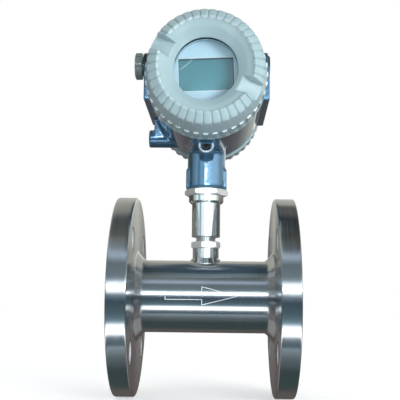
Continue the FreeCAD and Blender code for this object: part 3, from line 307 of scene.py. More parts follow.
def make_room():
    """World whose glossy rays see strips by elevation and azimuth, and whose other rays see a pale dome."""
    world = bpy.data.worlds.new("studio")
    bpy.context.scene.world = world
    world.use_nodes = True
    world.node_tree.nodes.clear()
    tree = Nodes(world.node_tree)
    x, y, z = tree.axes(tree.lay("TexCoord", out="Generated"))
    height = tree.times(tree.maths("ARCSINE", z), math.degrees(1))
    azimuth = tree.times(tree.maths("ARCTAN2", x, tree.times(y, -1.0)), math.degrees(1))
    from_middle = tree.times(tree.maths("ARCTAN2", x, tree.maths("ABSOLUTE", y)), math.degrees(1))
    sideways = tree.maths("ABSOLUTE", azimuth)

    front, back = (tree.ramp(height, 90, stops) for stops in (FRONT_BANDS, BACK_BANDS))
    strips = tree.mix(tree.span(sideways, *BEHIND), front, back)
    open_right = tree.times(tree.span(azimuth, *OPEN_SIDE), tree.span(height, *OPEN_HEIGHT))
    tints = tree.mix(open_right, tree.ramp(azimuth, 180, SIDE_TINTS), OPEN_TINT)
    strips = tree.tint(strips, tints, tree.between(height, *TINTED_HEIGHTS))

    high = tree.span(height, *HIGH)
    strips = tree.tint(strips, RIGHT_SHADE, tree.times(tree.span(from_middle, *RIGHT_SIDE), high))
    high = tree.maths("SUBTRACT", high, tree.span(height, *OVERHEAD, 0.0, OVERHEAD_RETURN))
    strips = tree.tint(strips, HEAD_SHADE, tree.times(tree.span(from_middle, *HEAD_SIDE), high))
    by_neck = tree.times(tree.between(height, *NECK_HEIGHTS), tree.span(sideways, *NECK_SIDE))
    strips = tree.tint(strips, NECK_LIFT, by_neck)
    on_wall = tree.times(tree.between(sideways, *WALL_SIDES), tree.between(height, *WALL_HEIGHTS))
    strips = tree.mix(on_wall, strips, WALL_LIGHT)

    right_edge = tree.span(height, *WINDOW_SLANT, *WINDOW_RIGHT, smooth=False)
    in_window = tree.times(
        tree.span(azimuth, *WINDOW_LEFT),
        tree.span(tree.maths("SUBTRACT", azimuth, right_edge), *WINDOW_SOFT, 1.0, 0.0),
        tree.between(height, *WINDOW_HEIGHTS),
    )
    strips = tree.mix(in_window, strips, WINDOW_LIGHT)

    dome = tree.mix(tree.span(z, *DOME_RISE), DOME_LOW, DOME_HIGH)
    rays = tree.lay("LightPath").node.outputs
    plain = tree.mix(rays["Is Glossy Ray"], dome, strips)
    seen = tree.maths("MAXIMUM", rays["Is Camera Ray"], rays["Is Transmission Ray"])
    tree.lay("OutputWorld", tree.lay("Background", tree.mix(seen, plain, WHITE)))


make_room()
print("strips in front:", len(FRONT_BANDS), "stops, behind:", len(BACK_BANDS))

# %% [markdown]
# One broad soft lamp to the right of the camera shapes the painted head, and a smaller one low in front
# lifts its underside, as light from a pale floor does. The floor is a pale sheet that the two flanges
# stand on. Glossy rays pass it, so the steel shows the room below as well as above.

# %% Lamps and floor
SQUARE = ((-1, -1), (1, -1), (1, 1), (-1, 1))
FLOOR_HALF, FLOOR_GAP = 4.0, 0.0002
FLOOR_LIT, FLOOR_SEEN, FLOOR_GLOW = (0.42, 0.42, 0.43, 1), (0.90, 0.90, 0.90, 1), 0.42


def area_lamp(name, place, size, watts):
    """Soft lamp of the given width and height that looks at the head's middle."""
    data = bpy.data.lights.new(name, "AREA")
    data.shape = "RECTANGLE"
    data.size, data.size_y = size
    data.energy = watts
    lamp = in_scene(name, data)
    lamp.location = place
    lamp.rotation_euler = Vector(HEAD_CENTRE - place).to_track_quat("-Z", "Y").to_euler()
    lamp.visible_glossy = False
    lamp.visible_camera = False


area_lamp("front_lamp", (0.78, -1.05, 0.10), (0.5, 0.5), 12.0)
area_lamp("floor_card", (0.06, -0.42, -0.07), (0.40, 0.12), 0.9)


def make_floor():
    """Pale floor under the flanges, brighter to the camera than to any other ray."""
    corners = [(x * FLOOR_HALF, y * FLOOR_HALF, -FLANGE_RADIUS - FLOOR_GAP) for x, y in SQUARE]
    mesh = bpy.data.meshes.new("floor")
    mesh.from_pydata(corners, [], [(0, 1, 2, 3)])
    floor = in_scene("floor", mesh)
    tree = new_material("floor_paper")
    seen = tree.lay("LightPath", out="Is Camera Ray")
    tree.set(Roughness=0.9, Specular_IOR_Level=0.1, Base_Color=tree.mix(seen, FLOOR_LIT, FLOOR_SEEN))
    glow = tree.lay("Emission", WHITE, tree.times(seen, FLOOR_GLOW))
    tree.surface(tree.lay("AddShader", tree.shader().outputs[0], glow))
    mesh.materials.append(MATERIALS["floor_paper"])
    floor.visible_glossy = False


make_floor()
print(f"floor at z = {-FLANGE_RADIUS:.4f} m, under both flanges")
bpy.context.scene.view_settings.view_transform = "Standard"

# %% [markdown]
# Every finish is built from a few effects that several materials share: the rings that a lathe leaves,
# a fine grain, and slow patches of handling. Each is a node group with named inputs and outputs, placed
# in a material with its own values, so that one change to the effect reaches every finish.

# %% Shared effects
SWIRL = 0.0004
FINE_SHARE, COARSE_SHARE = 0.6, 0.4
GRAIN_SCALE = 1200.0

# Noise stays between these values almost everywhere
NOISE_SPREAD = (0.3, 0.7)


def new_group(name, inputs, outputs):
    """Starts a node group from names and defaults of its inputs and names of its outputs."""
    tree = bpy.data.node_groups.new(name, "ShaderNodeTree")
    for label, default in inputs.items():
        socket = tree.interface.new_socket(label, in_out="INPUT", socket_type="NodeSocketFloat")
        socket.default_value = default
    for label in outputs:
        tree.interface.new_socket(label, in_out="OUTPUT", socket_type="NodeSocketFloat")
    given = tree.nodes.new("NodeGroupInput").outputs
    return Nodes(tree), given, tree.nodes.new("NodeGroupOutput").inputs


def turning_group(name, centre, along):
    """Lathe marks about one axis: noise read at (distance along the axis, radius), so it runs in rings."""
    tree, given, out = new_group(name, {"Fine Scale": 900.0, "Coarse Scale": 160.0}, ("Rings", "Patches"))
    place = tree.place()
    across = list(tree.axes(tree.vector("SUBTRACT", place, centre)))
    line = across.pop(along)
    turn = tree.times(tree.maths("ARCTAN2", *across), SWIRL)
    swirl = tree.lay("CombineXYZ", line, tree.length(*across), turn)
    fine, coarse = (tree.noise(swirl, given[scale], detail=2.0) for scale in ("Fine Scale", "Coarse Scale"))
    rings = tree.maths("ADD", tree.times(fine, FINE_SHARE), tree.times(coarse, COARSE_SHARE))
    tree.feed(out["Rings"], rings)
    tree.feed(out["Patches"], tree.noise(place, scale=22.0, detail=3.0))
    return tree.tree


def grain_group():
    """Even grain and slow patches over any surface, from two noises of object coordinates."""
    scales = {"Grain Scale": GRAIN_SCALE, "Patch Scale": 30.0}
    tree, given, out = new_group("grain", scales, ("Grain", "Patches"))
    place = tree.place()
    tree.feed(out["Grain"], tree.noise(place, given["Grain Scale"], detail=2.0))
    tree.feed(out["Patches"], tree.noise(place, given["Patch Scale"], detail=4.0))
    return tree.tree


pipe_turning = turning_group("pipe_turning", (0, 0, 0), 0)
stem_turning = turning_group("stem_turning", (STEM_X, 0, 0), 2)
grain = grain_group()
print("shared effects:", [group.name for group in bpy.data.node_groups])

# %% [markdown]
# A finish here is a Principled shader whose colour and roughness wander a little between two values, and
# whose normal carries a shallow bump. The same function lays out all of them: only the effect, the two
# colours, the two roughnesses and the bump's height differ from one metal or paint to the next.

# %% Finishes
ANISOTROPY, QUARTER_TURN = 0.95, 0.25
# How the covers' painted highlight breaks into patches
HIGHLIGHT_PATCHES, HIGHLIGHT_SPREAD, LEAST_HIGHLIGHT = 260.0, (0.36, 0.60), 0.45


def finish(name, effect, low, high, roughness, bump=0.0, scales=(), **fixed):
    """Material with an effect driving colour, roughness and bump; fixed values go on the shader itself."""
    tree = new_material(name)
    marks, patches = tree.group(effect, *scales)
    tree.set(
        Base_Color=tree.mix(tree.span(patches, *NOISE_SPREAD), (*low, 1), (*high, 1)),
        Roughness=tree.span(marks, *NOISE_SPREAD, *roughness, smooth=False),
        **fixed,
    )
    if bump:
        tree.set(Normal=tree.named("Bump", {"Strength": 1.0, "Distance": bump, "Height": marks}))


def brush(name, axis):
    """Stretches the blur across marks that run round an axis, as turning leaves them."""
    tree = Nodes(MATERIALS[name].node_tree)
    tangent = tree.lay("Tangent", direction_type="RADIAL", axis=axis)
    tree.set(Tangent=tangent, Anisotropic=ANISOTROPY, Anisotropic_Rotation=QUARTER_TURN)


def paint_edge_highlights(name, colour):
    """Pales the base colour as a painted highlight where the piece's own attribute marks it, broken into
    patches.
    """
    tree = Nodes(MATERIALS[name].node_tree)
    mark = tree.lay("Attribute", out="Fac", attribute_name="painted_highlight")
    patches = tree.group(grain, GRAIN_SCALE, HIGHLIGHT_PATCHES)["Patches"]
    broken = tree.span(patches, *HIGHLIGHT_SPREAD, LEAST_HIGHLIGHT, 1.0)
    tree.set(Base_Color=tree.mix(tree.times(mark, broken), tree.source("Base Color"), colour))


METAL = {"Metallic": 1.0}

# Plain grained finishes: two colours, two roughnesses and how metallic
for name, low, high, roughness, fixed in (
    ("hard_carbide", (0.28, 0.29, 0.31), (0.33, 0.34, 0.36), (0.15, 0.22), METAL),
    ("spring_steel", (0.30, 0.30, 0.31), (0.38, 0.38, 0.39), (0.28, 0.40), METAL),
    ("soft_iron", (0.32, 0.32, 0.33), (0.40, 0.40, 0.41), (0.38, 0.5), METAL),
    ("plated_magnet", (0.66, 0.66, 0.65), (0.74, 0.74, 0.72), (0.12, 0.2), METAL),
    ("ring_aluminium", (0.52, 0.58, 0.64), (0.58, 0.64, 0.70), (0.48, 0.58), METAL),
    ("standoff_brass", (0.66, 0.50, 0.24), (0.74, 0.59, 0.32), (0.24, 0.36), METAL),
    ("zinc_screw", (0.58, 0.58, 0.55), (0.66, 0.66, 0.64), (0.22, 0.36), METAL),
    # A pale, part metallic finish that paints a highlight on the lug's bead
    ("pale_rim_highlight", (0.70, 0.82, 0.92), (0.80, 0.89, 0.96), (0.22, 0.32), {"Metallic": 0.6}),
    ("black_rubber", (0.02, 0.02, 0.02), (0.035, 0.035, 0.035), (0.5, 0.65), {}),
    ("bobbin_plastic", (0.76, 0.74, 0.66), (0.84, 0.82, 0.76), (0.45, 0.55), {}),
    ("terminal_plastic", (0.05, 0.26, 0.12), (0.08, 0.31, 0.16), (0.38, 0.5), {}),
    ("black_plug", (0.016, 0.018, 0.02), (0.03, 0.032, 0.034), (0.3, 0.45), {}),
    # White plastic for the film's edge; on the frame round the panel it is a painted highlight
    ("white_film_and_highlight", (0.78, 0.86, 0.90), (0.84, 0.91, 0.94), (0.35, 0.45), {}),
):
    finish(name, grain, low, high, roughness, **fixed)
finish("turned_steel", pipe_turning, (0.58, 0.59, 0.60), (0.64, 0.65, 0.66), (0.15, 0.24),
       bump=2e-6, scales=(700.0, 150.0), **METAL)
finish("guide_steel", pipe_turning, (0.52, 0.53, 0.54), (0.58, 0.59, 0.60), (0.22, 0.34), bump=1e-5, **METAL)
finish("rotor_steel", grain, (0.46, 0.47, 0.49), (0.54, 0.55, 0.57), (0.22, 0.34), bump=6e-6, **METAL)
finish("polished_steel", stem_turning, (0.78, 0.79, 0.79), (0.82, 0.82, 0.81), (0.05, 0.09),
       bump=1e-6, scales=(900.0, 220.0), **METAL)
finish("copper_wire", stem_turning, (0.68, 0.32, 0.16), (0.78, 0.40, 0.20), (0.25, 0.40),
       bump=5e-5, scales=(2600.0, 900.0), **METAL)
finish("satin_nut", grain, (0.86, 0.87, 0.88), (0.91, 0.92, 0.93), (0.36, 0.44),
       bump=2e-6, scales=(1500.0, 60.0), Metallic=0.55)
# Near-black screw finish: painted shade deep in the jam screw's hole
finish("black_screw_in_shade", grain, (0.012, 0.013, 0.012), (0.02, 0.021, 0.02), (0.35, 0.5),
       bump=6e-6, scales=(1500.0, 60.0))
finish("etched_line", grain, (0.74, 0.78, 0.80), (0.84, 0.87, 0.89), (0.45, 0.55),
       scales=(2500.0, 300.0), Metallic=0.35)
finish("blue_paint", grain, (0.080, 0.20, 0.325), (0.092, 0.222, 0.355), (0.20, 0.27), bump=3e-6,
       scales=(420.0, 14.0), Metallic=0.68, Coat_Weight=1.0, Coat_Roughness=0.04, Coat_IOR=1.5)
finish("cover_paint", grain, (0.355, 0.495, 0.53), (0.385, 0.53, 0.565), (0.38, 0.48), bump=2e-5,
       scales=(900.0, 18.0), Coat_Weight=0.45, Coat_Roughness=0.12)
finish("bezel_plastic", grain, (0.50, 0.72, 0.88), (0.54, 0.76, 0.90), (0.42, 0.52),
       bump=1e-5, scales=(1800.0, 14.0))
finish("plug_plastic", grain, (0.17, 0.23, 0.235), (0.26, 0.33, 0.335), (0.26, 0.40), bump=3e-5,
       scales=(700.0, 60.0), Coat_Weight=0.6, Coat_Roughness=0.1)
finish("circuit_board", grain, (0.02, 0.16, 0.08), (0.04, 0.24, 0.12), (0.25, 0.35), scales=(900.0, 160.0))
# Near-white painted highlight on the covers' rib ends and tooth faces
paint_edge_highlights("cover_paint", (0.80, 0.90, 0.92, 1))
brush("turned_steel", "X")
brush("polished_steel", "Z")

# %% [markdown]
# The window is clear toughened glass. Light must pass it to reach the display, so its shader is a full
# transmission with a faint green, and shadow rays go straight through. The display under it is a reflective
# panel: teal, a little darker along its side edges, with a painted shadow along its top and right and a soft
# vertical change.

# %% Glass and display
DISPLAY_TURN = math.radians(2.4)
LCD_WIDTH, LCD_HEIGHT, LCD_DROP = 43.4 * MM, 26.2 * MM, 1.0 * MM
LCD_LOW, LCD_TOP, LCD_RIM = (0.092, 0.29, 0.36, 1), (0.066, 0.225, 0.275, 1), (0.05, 0.19, 0.26, 1)
# The dark colour of the painted shadow along the panel's top and right, then a random tone
LCD_SHADOW_COLOUR, LCD_CLOUD, CLOUD_PATCHES = (0.008, 0.055, 0.09, 1), (0.96, 1.04), 60.0

# Where the side rim and the painted shadow along the top and right begin and are full, in millimetres in
# from the panel's sides and its top
RIM_EDGE, SIDE_EDGE, TOP_EDGE, RIM_SHARE = (1.6, 1.3), (0.8, 0.5), (1.35, 0.95), 0.2


def make_glass():
    """Clear glass that shadow and diffuse rays pass as if it were not there."""
    tree = new_material("window_glass")
    tree.set(Base_Color=(0.95, 0.985, 0.98, 1), Roughness=0.0, Transmission_Weight=1.0, IOR=1.45)
    clear = tree.lay("BsdfTransparent", (0.93, 0.96, 0.96, 1))
    rays = tree.lay("LightPath").node.outputs
    passing = tree.maths("MAXIMUM", rays["Is Shadow Ray"], rays["Is Diffuse Ray"])
    tree.surface(tree.lay("MixShader", passing, tree.shader().outputs[0], clear))


def make_lcd():
    """Teal panel with a painted shadow along its top and right, and a little darker along its glass edges.
    """
    tree = new_material("lcd_face")
    shift = tree.vector("SUBTRACT", tree.place(), HEAD_CENTRE)
    sine, cosine = math.sin(DISPLAY_TURN), math.cos(DISPLAY_TURN)
    axes = (cosine, 0, sine), (-sine, 0, cosine)
    across, rise = (tree.vector("DOT_PRODUCT", shift, axis, out="Value") for axis in axes)
    top, side = LCD_HEIGHT / 2 - LCD_DROP, LCD_WIDTH / 2
    colour = tree.mix(tree.span(rise, -top, top, smooth=False), LCD_LOW, LCD_TOP)
    cloud = tree.span(tree.group(grain, GRAIN_SCALE, CLOUD_PATCHES)["Patches"], *NOISE_SPREAD, *LCD_CLOUD)

    def near(value, limit, edge):
        return tree.span(value, *(limit - inset * MM for inset in edge))

    rim = tree.times(near(tree.maths("ABSOLUTE", across), side, RIM_EDGE), RIM_SHARE)
    colour = tree.mix(rim, tree.tint(colour, cloud), LCD_RIM)
    # Painted shadow along the panel's top and right, where the opening's edge shades it
    painted_shadow = tree.maths("MAXIMUM", near(rise, top, TOP_EDGE), near(across, side, SIDE_EDGE))
    tree.set(Base_Color=tree.mix(painted_shadow, colour, LCD_SHADOW_COLOUR), Roughness=0.25)


make_glass()
make_lcd()
print("made:", *list(MATERIALS)[-2:])

# %% [markdown]
# The flanges are the same turned steel with two kinds of cutting in it. The walls of the four bolt holes are
# drilled, so they are rougher; they are also painted paler, as painted light from the far side of the holes,
# and their bevels are painted darker, as painted shade. The gasket face has the fine round grooves that a
# gasket grips, too shallow to be anything but bump.

# %% Flange steel and dressing the frame
BOLT_PLACE = 44.19 * MM

# Radii about a bolt's axis over which the drilled wall and its bevel end
HOLE_WALL, HOLE_BEVEL = (9.02 * MM, 9.12 * MM), (10.45 * MM, 10.6 * MM)
# The pale hole-wall colour is painted light, and the dark bevel colour is painted shade
HOLE_LIT_STEEL, BEVEL_SHADE_STEEL = (0.76, 0.77, 0.78, 1), (0.22, 0.23, 0.23, 1)
DRILLED_METALLIC, DRILLED_ROUGHER = 0.4, 0.34
SERRATION_PITCH, SERRATION_SHARE, FACE_EDGE = 1.6 * MM, 7.0, (0.10, 0.04)


def make_flange_steel():
    """Turned steel with drilled holes, the walls painted pale as painted light and the bevels dark as
    painted shade, and a grooved gasket face.
    """
    material = MATERIALS["turned_steel"].copy()
    material.name = "flange_steel"
    MATERIALS["flange_steel"] = material
    tree = Nodes(material.node_tree)
    x, y, z = tree.axes(tree.place())
    from_bolt = tree.length(*(
        tree.maths("SUBTRACT", tree.maths("ABSOLUTE", axis), BOLT_PLACE) for axis in (y, z)
    ))
    edges = HOLE_WALL, HOLE_BEVEL
    drilled, bevel_shade = (tree.span(from_bolt, *edge, 1.0, 0.0, smooth=False) for edge in edges)
    # Pale painted light on the hole walls, dark painted shade on their bevels
    colour = tree.mix(drilled, tree.mix(bevel_shade, tree.source("Base Color"), BEVEL_SHADE_STEEL), HOLE_LIT_STEEL)
    from_end = tree.maths("ABSOLUTE", tree.maths("SUBTRACT", x, METER_LENGTH / 2))
    on_face = tree.span(from_end, *(METER_LENGTH / 2 - inset * MM for inset in FACE_EDGE))
    groove = tree.maths("SINE", tree.times(tree.length(y, z), 2 * math.pi / SERRATION_PITCH))
    height = tree.source("Normal").node.inputs["Height"]
    marks = height.links[0].from_socket
    tree.feed(height, tree.maths("ADD", marks, tree.times(groove, on_face, SERRATION_SHARE)))
    tree.set(
        Base_Color=colour,
        Roughness=tree.maths("MULTIPLY_ADD", drilled, DRILLED_ROUGHER, tree.source("Roughness")),
        Metallic=tree.span(drilled, 0.0, 1.0, 1.0, DRILLED_METALLIC, smooth=False),
    )


make_flange_steel()
print("finishes:", len(MATERIALS))

# Nodes whose finish is nearer to the photograph than their slot's own
OWN_FINISH = {
    "pickup_lock_nut": "satin_nut",
    "head_lock_nut": "satin_nut",
    # The jam screw is painted near black, as painted shade deep in its hole
    "cover_jam_screw": "black_screw_in_shade",
}
for subpart in frame["record"]["subparts"]:
    mesh = nodes[subpart["node"]].data
    mesh.materials.clear()
    mesh.materials.append(MATERIALS[OWN_FINISH.get(subpart["node"], subpart["material_slot"])])
print("dressed:", len(nodes), "nodes")

# %% [markdown]
# New pieces are grids of points worked out as whole arrays. A helper turns such a grid into faces, closes
# it across its seams where asked, and rounds the shading except across real edges.

# %% Grids into meshes
SHARP_EDGE = math.radians(38)
FINE_MERGE, MERGE = 0.001 * MM, 0.002 * MM


def smooth_step(value, low, high):
    share = np.clip((value - low) / (high - low), 0, 1)
    return share * share * (3 - 2 * share)


def full_turn(steps):
    return np.linspace(0, 2 * math.pi, steps, endpoint=False)


def unit(vectors):
    return vectors / np.linalg.norm(vectors, axis=1)[:, None]


def points_at(*axes):
    """Points from their coordinates, each an array or one number for all."""
    return np.stack(np.broadcast_arrays(*axes), axis=-1)


def grid_faces(rows, columns, close_rows, close_columns):
    """Corner numbers of the quads between neighbours in a grid, wrapping round where it is closed."""
    row = np.arange(rows if close_rows else rows - 1)
    column = np.arange(columns if close_columns else columns - 1)
    row, column = np.meshgrid(row, column, indexing="ij")
    next_row, next_column = (row + 1) % rows, (column + 1) % columns
    corners = [row * columns + column, next_row * columns + column,
               next_row * columns + next_column, row * columns + next_column]
    return np.stack(corners, axis=-1).reshape(-1, 4)


def make_mesh(name, grids, close_rows, close_columns):
    """One mesh from one or more (rows, columns, 3) grids of points."""
    points, faces, start = [], [], 0
    for grid in grids:
        rows, columns = grid.shape[:2]
        points.append(grid.reshape(-1, 3))
        faces.append(grid_faces(rows, columns, close_rows, close_columns) + start)
        start += rows * columns
    mesh = bpy.data.meshes.new(name)
    mesh.from_pydata(np.concatenate(points).tolist(), [], np.concatenate(faces).tolist())
    return mesh


@contextmanager
def editing(mesh):
    """Opens a mesh for edits, and writes them back at the end of the block."""
    work = bmesh.new()
    work.from_mesh(mesh)
    yield work
    work.to_mesh(mesh)
    work.free()


def finish_piece(name, mesh, slot, body, sharp=SHARP_EDGE, merge=0.0, look=None):
    """Merges poles and seams, turns faces outwards, sets shading, the finish named by look or slot, and the
    body.
    """
    with editing(mesh) as work:
        if merge:
            bmesh.ops.remove_doubles(work, verts=work.verts, dist=merge)
            bmesh.ops.dissolve_degenerate(work, edges=work.edges, dist=merge / 2)
        bmesh.ops.recalc_face_normals(work, faces=work.faces)
    mesh.shade_smooth()
    mesh.set_sharp_from_angle(angle=sharp)
    mesh.materials.append(MATERIALS[look or slot])
    piece = in_scene(name, mesh)
    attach(piece, body)
    print(f"{name}: {sum(len(face.vertices) - 2 for face in mesh.polygons)} triangles")
    return piece


def make_piece(name, grid, slot, body, close_columns=True, painted_highlight=None, **more):
    """One object from a grid of points, riding on a body, with a painted highlight for each point where
    given.
    """
    mesh = make_mesh(name, [grid], True, close_columns)
    if painted_highlight is not None:
        store = mesh.attributes.new("painted_highlight", "FLOAT", "POINT")
        store.data.foreach_set("value", painted_highlight.ravel().astype(np.float32))
    return finish_piece(name, mesh, slot, body, **more)


# %% [markdown]
# Turned pieces start as a section: a closed outline of the distance along the axis and the radius. Its
# corners are rounded, because a sharp corner never catches the thin bright line that a real edge has.

# %% Profile of a turned piece
BEND_POINTS = 5
BEND_LIMIT = 0.45


def round_corners(corners):
    """Closed outline from (along, radius, rounding, spacing) corners, all in millimetres.

    Straight runs are cut to the spacing given at their first corner, and joined by quadratic bends."""
    table = np.array(corners, float) * MM
    points, bends, spacings = table[:, :2], table[:, 2], table[:, 3]
    before = np.roll(points, 1, axis=0) - points
    after = np.roll(points, -1, axis=0) - points
    shorter = np.minimum(np.linalg.norm(before, axis=1), np.linalg.norm(after, axis=1))
    reach = np.minimum(bends, BEND_LIMIT * shorter)
    enter = points + unit(before) * reach[:, None]
    leave = points + unit(after) * reach[:, None]
    outline = []
    for index, spacing in enumerate(spacings):
        share = np.linspace(0, 1, BEND_POINTS if reach[index] > 0 else 1)[:, None]
        pull = 2 * share * (1 - share) * points[index]
        outline.append((1 - share) ** 2 * enter[index] + pull + share ** 2 * leave[index])
        run = enter[(index + 1) % len(points)] - leave[index]
        steps = max(int(math.ceil(np.linalg.norm(run) / spacing)), 1)
        outline.append(leave[index] + run * np.linspace(0, 1, steps + 1)[1:-1, None])
    return np.concatenate(outline)


def turned(profile, segments):
    """Carries a profile through a full circle: distance along the axis, radius and angle of every point."""
    return np.broadcast_arrays(profile[:, :1], profile[:, 1:], full_turn(segments))


# %% [markdown]
# A flange is a plain turned disc with a raised gasket face and a short hub that is welded to the tube. The
# frame's solid has these shapes with hard corners and coarse facets, which crumple a mirror finish. A
# lathe profile with fine rounded corners gives the long clean reflections that turned steel has. The four
# bolt holes are cut from it afterwards, with a small countersink at both ends.

# %% Bolted flanges
FLANGE_CORNERS = [
    (0.0, 25.0, 0.5, 5.0), (0.0, 51.0, 0.4, 2.0), (2.0, 51.0, 0.3, 3.0), (2.0, 82.5, 1.2, 3.0),
    (18.0, 82.5, 1.6, 3.0), (18.0, 37.2, 3.2, 1.0), (20.3, 34.7, 1.4, 1.0), (23.7, 30.9, 0.2, 0.5),
    (24.1, 31.1, 0.4, 0.5), (24.5, 30.8, 0.3, 0.5), (24.5, 25.0, 0.2, 4.0),
]
HOLE_CORNERS = [(1.0, 0.0), (1.0, 10.5), (2.5, 9.0), (17.5, 9.0), (19.0, 10.5), (19.0, 0.0)]
FLANGE_SEGMENTS, HOLE_SEGMENTS = 192, 48


def evaluated_mesh(piece, name):
    """The mesh that a piece's modifiers leave, as data of its own. The piece itself goes."""
    depsgraph = bpy.context.evaluated_depsgraph_get()
    mesh = bpy.data.meshes.new_from_object(piece.evaluated_get(depsgraph))
    bpy.data.objects.remove(piece)
    mesh.name = name
    mesh.materials.clear()
    return mesh


def on_pipe_axis(along, radius, angle, start, facing, y=0.0, z=0.0):
    """Points at an angle about a line along X, from a start plane and facing +1 or -1."""
    return points_at(start + facing * along, y + radius * np.cos(angle), z + radius * np.sin(angle))


def make_flange(name, start, facing):
    """Turned disc with its four drilled holes, facing +1 or -1 along X from a start plane."""
    disc = on_pipe_axis(*turned(round_corners(FLANGE_CORNERS), FLANGE_SEGMENTS), start, facing)
    drill = turned(np.array(HOLE_CORNERS) * MM, HOLE_SEGMENTS)
    sides = (-BOLT_PLACE, BOLT_PLACE)
    drills = [on_pipe_axis(*drill, start, facing, y, z) for y in sides for z in sides]
    piece = in_scene(name, make_mesh(name, [disc], True, True))
    cutter = in_scene("drills", make_mesh("drills", drills, False, True))
    for mesh in (piece.data, cutter.data):
        with editing(mesh) as work:
            bmesh.ops.remove_doubles(work, verts=work.verts, dist=FINE_MERGE)
            bmesh.ops.recalc_face_normals(work, faces=work.faces)
    cut = piece.modifiers.new("drilling", "BOOLEAN")
    cut.operation = "DIFFERENCE"
    cut.solver = "EXACT"
    cut.object = cutter
    mesh = evaluated_mesh(piece, name)
    bpy.data.objects.remove(cutter)
    return finish_piece(name, mesh, "turned_steel", "meter_body", look="flange_steel")


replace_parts(make_flange("inlet_flange_turned", 0.0, 1), "inlet_flange")
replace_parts(make_flange("outlet_flange_turned", METER_LENGTH, -1), "outlet_flange")

# %% [markdown]
# The two covers are screwed caps. A ring of square teeth stands by the mouth, ribs with round ends run
# over the bevel, and two slots take a wrench bar. A lathe turns the section, so the surface is a profile
# carried round the head's axis. Ribs, teeth and slots are then small moves of each point that depend on
# its angle, which keeps every edge soft, as moulded and painted edges are.

# %% Cover sizes
COVER_SAMPLES = 720
RIBS = 40
RIB_PITCH = 2 * math.pi / RIBS
RIB_PHASE, TOOTH_PHASE, COVER_TURN = math.radians(267.8), math.radians(265.4), math.radians(26)
WALL_RADIUS, CROWN_RADIUS, WINDOW_RADIUS = 47.7 * MM, 37.6 * MM, 24.9 * MM
TOOTH_END, LIP_END = 18.8 * MM, 1.8 * MM
TOOTH_GAP = 1.3 * MM, 2.3 * MM
GROOVE_DEPTH, GROOVE_WIDTH = 1.15 * MM, 0.55 * MM
GROOVE_FADE = CROWN_RADIUS - 1.5 * MM, CROWN_RADIUS + 0.6 * MM
RIB_ARCH, RIB_STEP, RIB_END_ROUND = 0.35 * MM, 1.05 * MM, 2.2 * MM
DISH_FADE = CROWN_RADIUS - 7 * MM, CROWN_RADIUS - 1.5 * MM
NOTCH_LENGTH, NOTCH_SHARE = 9.0 * MM, 0.5
SLOT_HALF, SLOT_START, SLOT_FLAT = 6.25 * MM, 28.8 * MM, 46.0 * MM

# How far the cuts reach, a little inside or past the corners of the section
TOOTH_SKIN, TOOTH_TOP = WALL_RADIUS - 0.2 * MM, TOOTH_END + 0.05 * MM
LIP_EDGE = LIP_END - 0.2 * MM, LIP_END + 0.1 * MM
DISH_START, BEVEL_START, BEVEL_END = WINDOW_RADIUS + 2.5 * MM, CROWN_RADIUS + 2 * MM, WALL_RADIUS - 0.1 * MM
RIB_START, RIB_SOFT, SHOULDER_SLACK = CROWN_RADIUS + 0.9 * MM, 0.3 * MM, 0.8 * MM
NOTCH_RADIUS, NOTCH_FOOT, NOTCH_SLACK = CROWN_RADIUS + 6 * MM, TOOTH_END + 0.4 * MM, 0.5 * MM
SLOT_SOFT, SLOT_MARGIN = 0.25 * MM, 1.5 * MM

# Where a highlight is painted: a line along each rib's end, fading at its sides, and the teeth's faces
LINE_SHIFT, LINE_WIDTH, LINE_SIDES = 0.1 * MM, 0.38 * MM, (0.12, 0.5)
FACE_REACH, FACE_GAP, FACE_HIGHLIGHT = 0.3 * MM, 0.25, 0.65

# Both covers' corners start with the mouth's outside and end with its inside
MOUTH_OUTSIDE = [(0.0, 48.7, 0.3, 1.5), (18.8, 48.7, 0.3, 0.6), (18.8, 47.7, 0.1, 1.3)]
MOUTH_INSIDE = [(15.0, 42.5, 0.3, 3.0), (15.0, 44.9, 0.2, 6.0), (0.0, 44.9, 0.3, 2.0)]


def from_nearest(angle, phase, radius):
    """Share of half a rib from the nearest groove, 0 to 1, and the distance from it along the surface."""
    turns = (angle - phase) / RIB_PITCH
    share = np.abs(turns - np.round(turns))
    return 2 * share, share * RIB_PITCH * radius


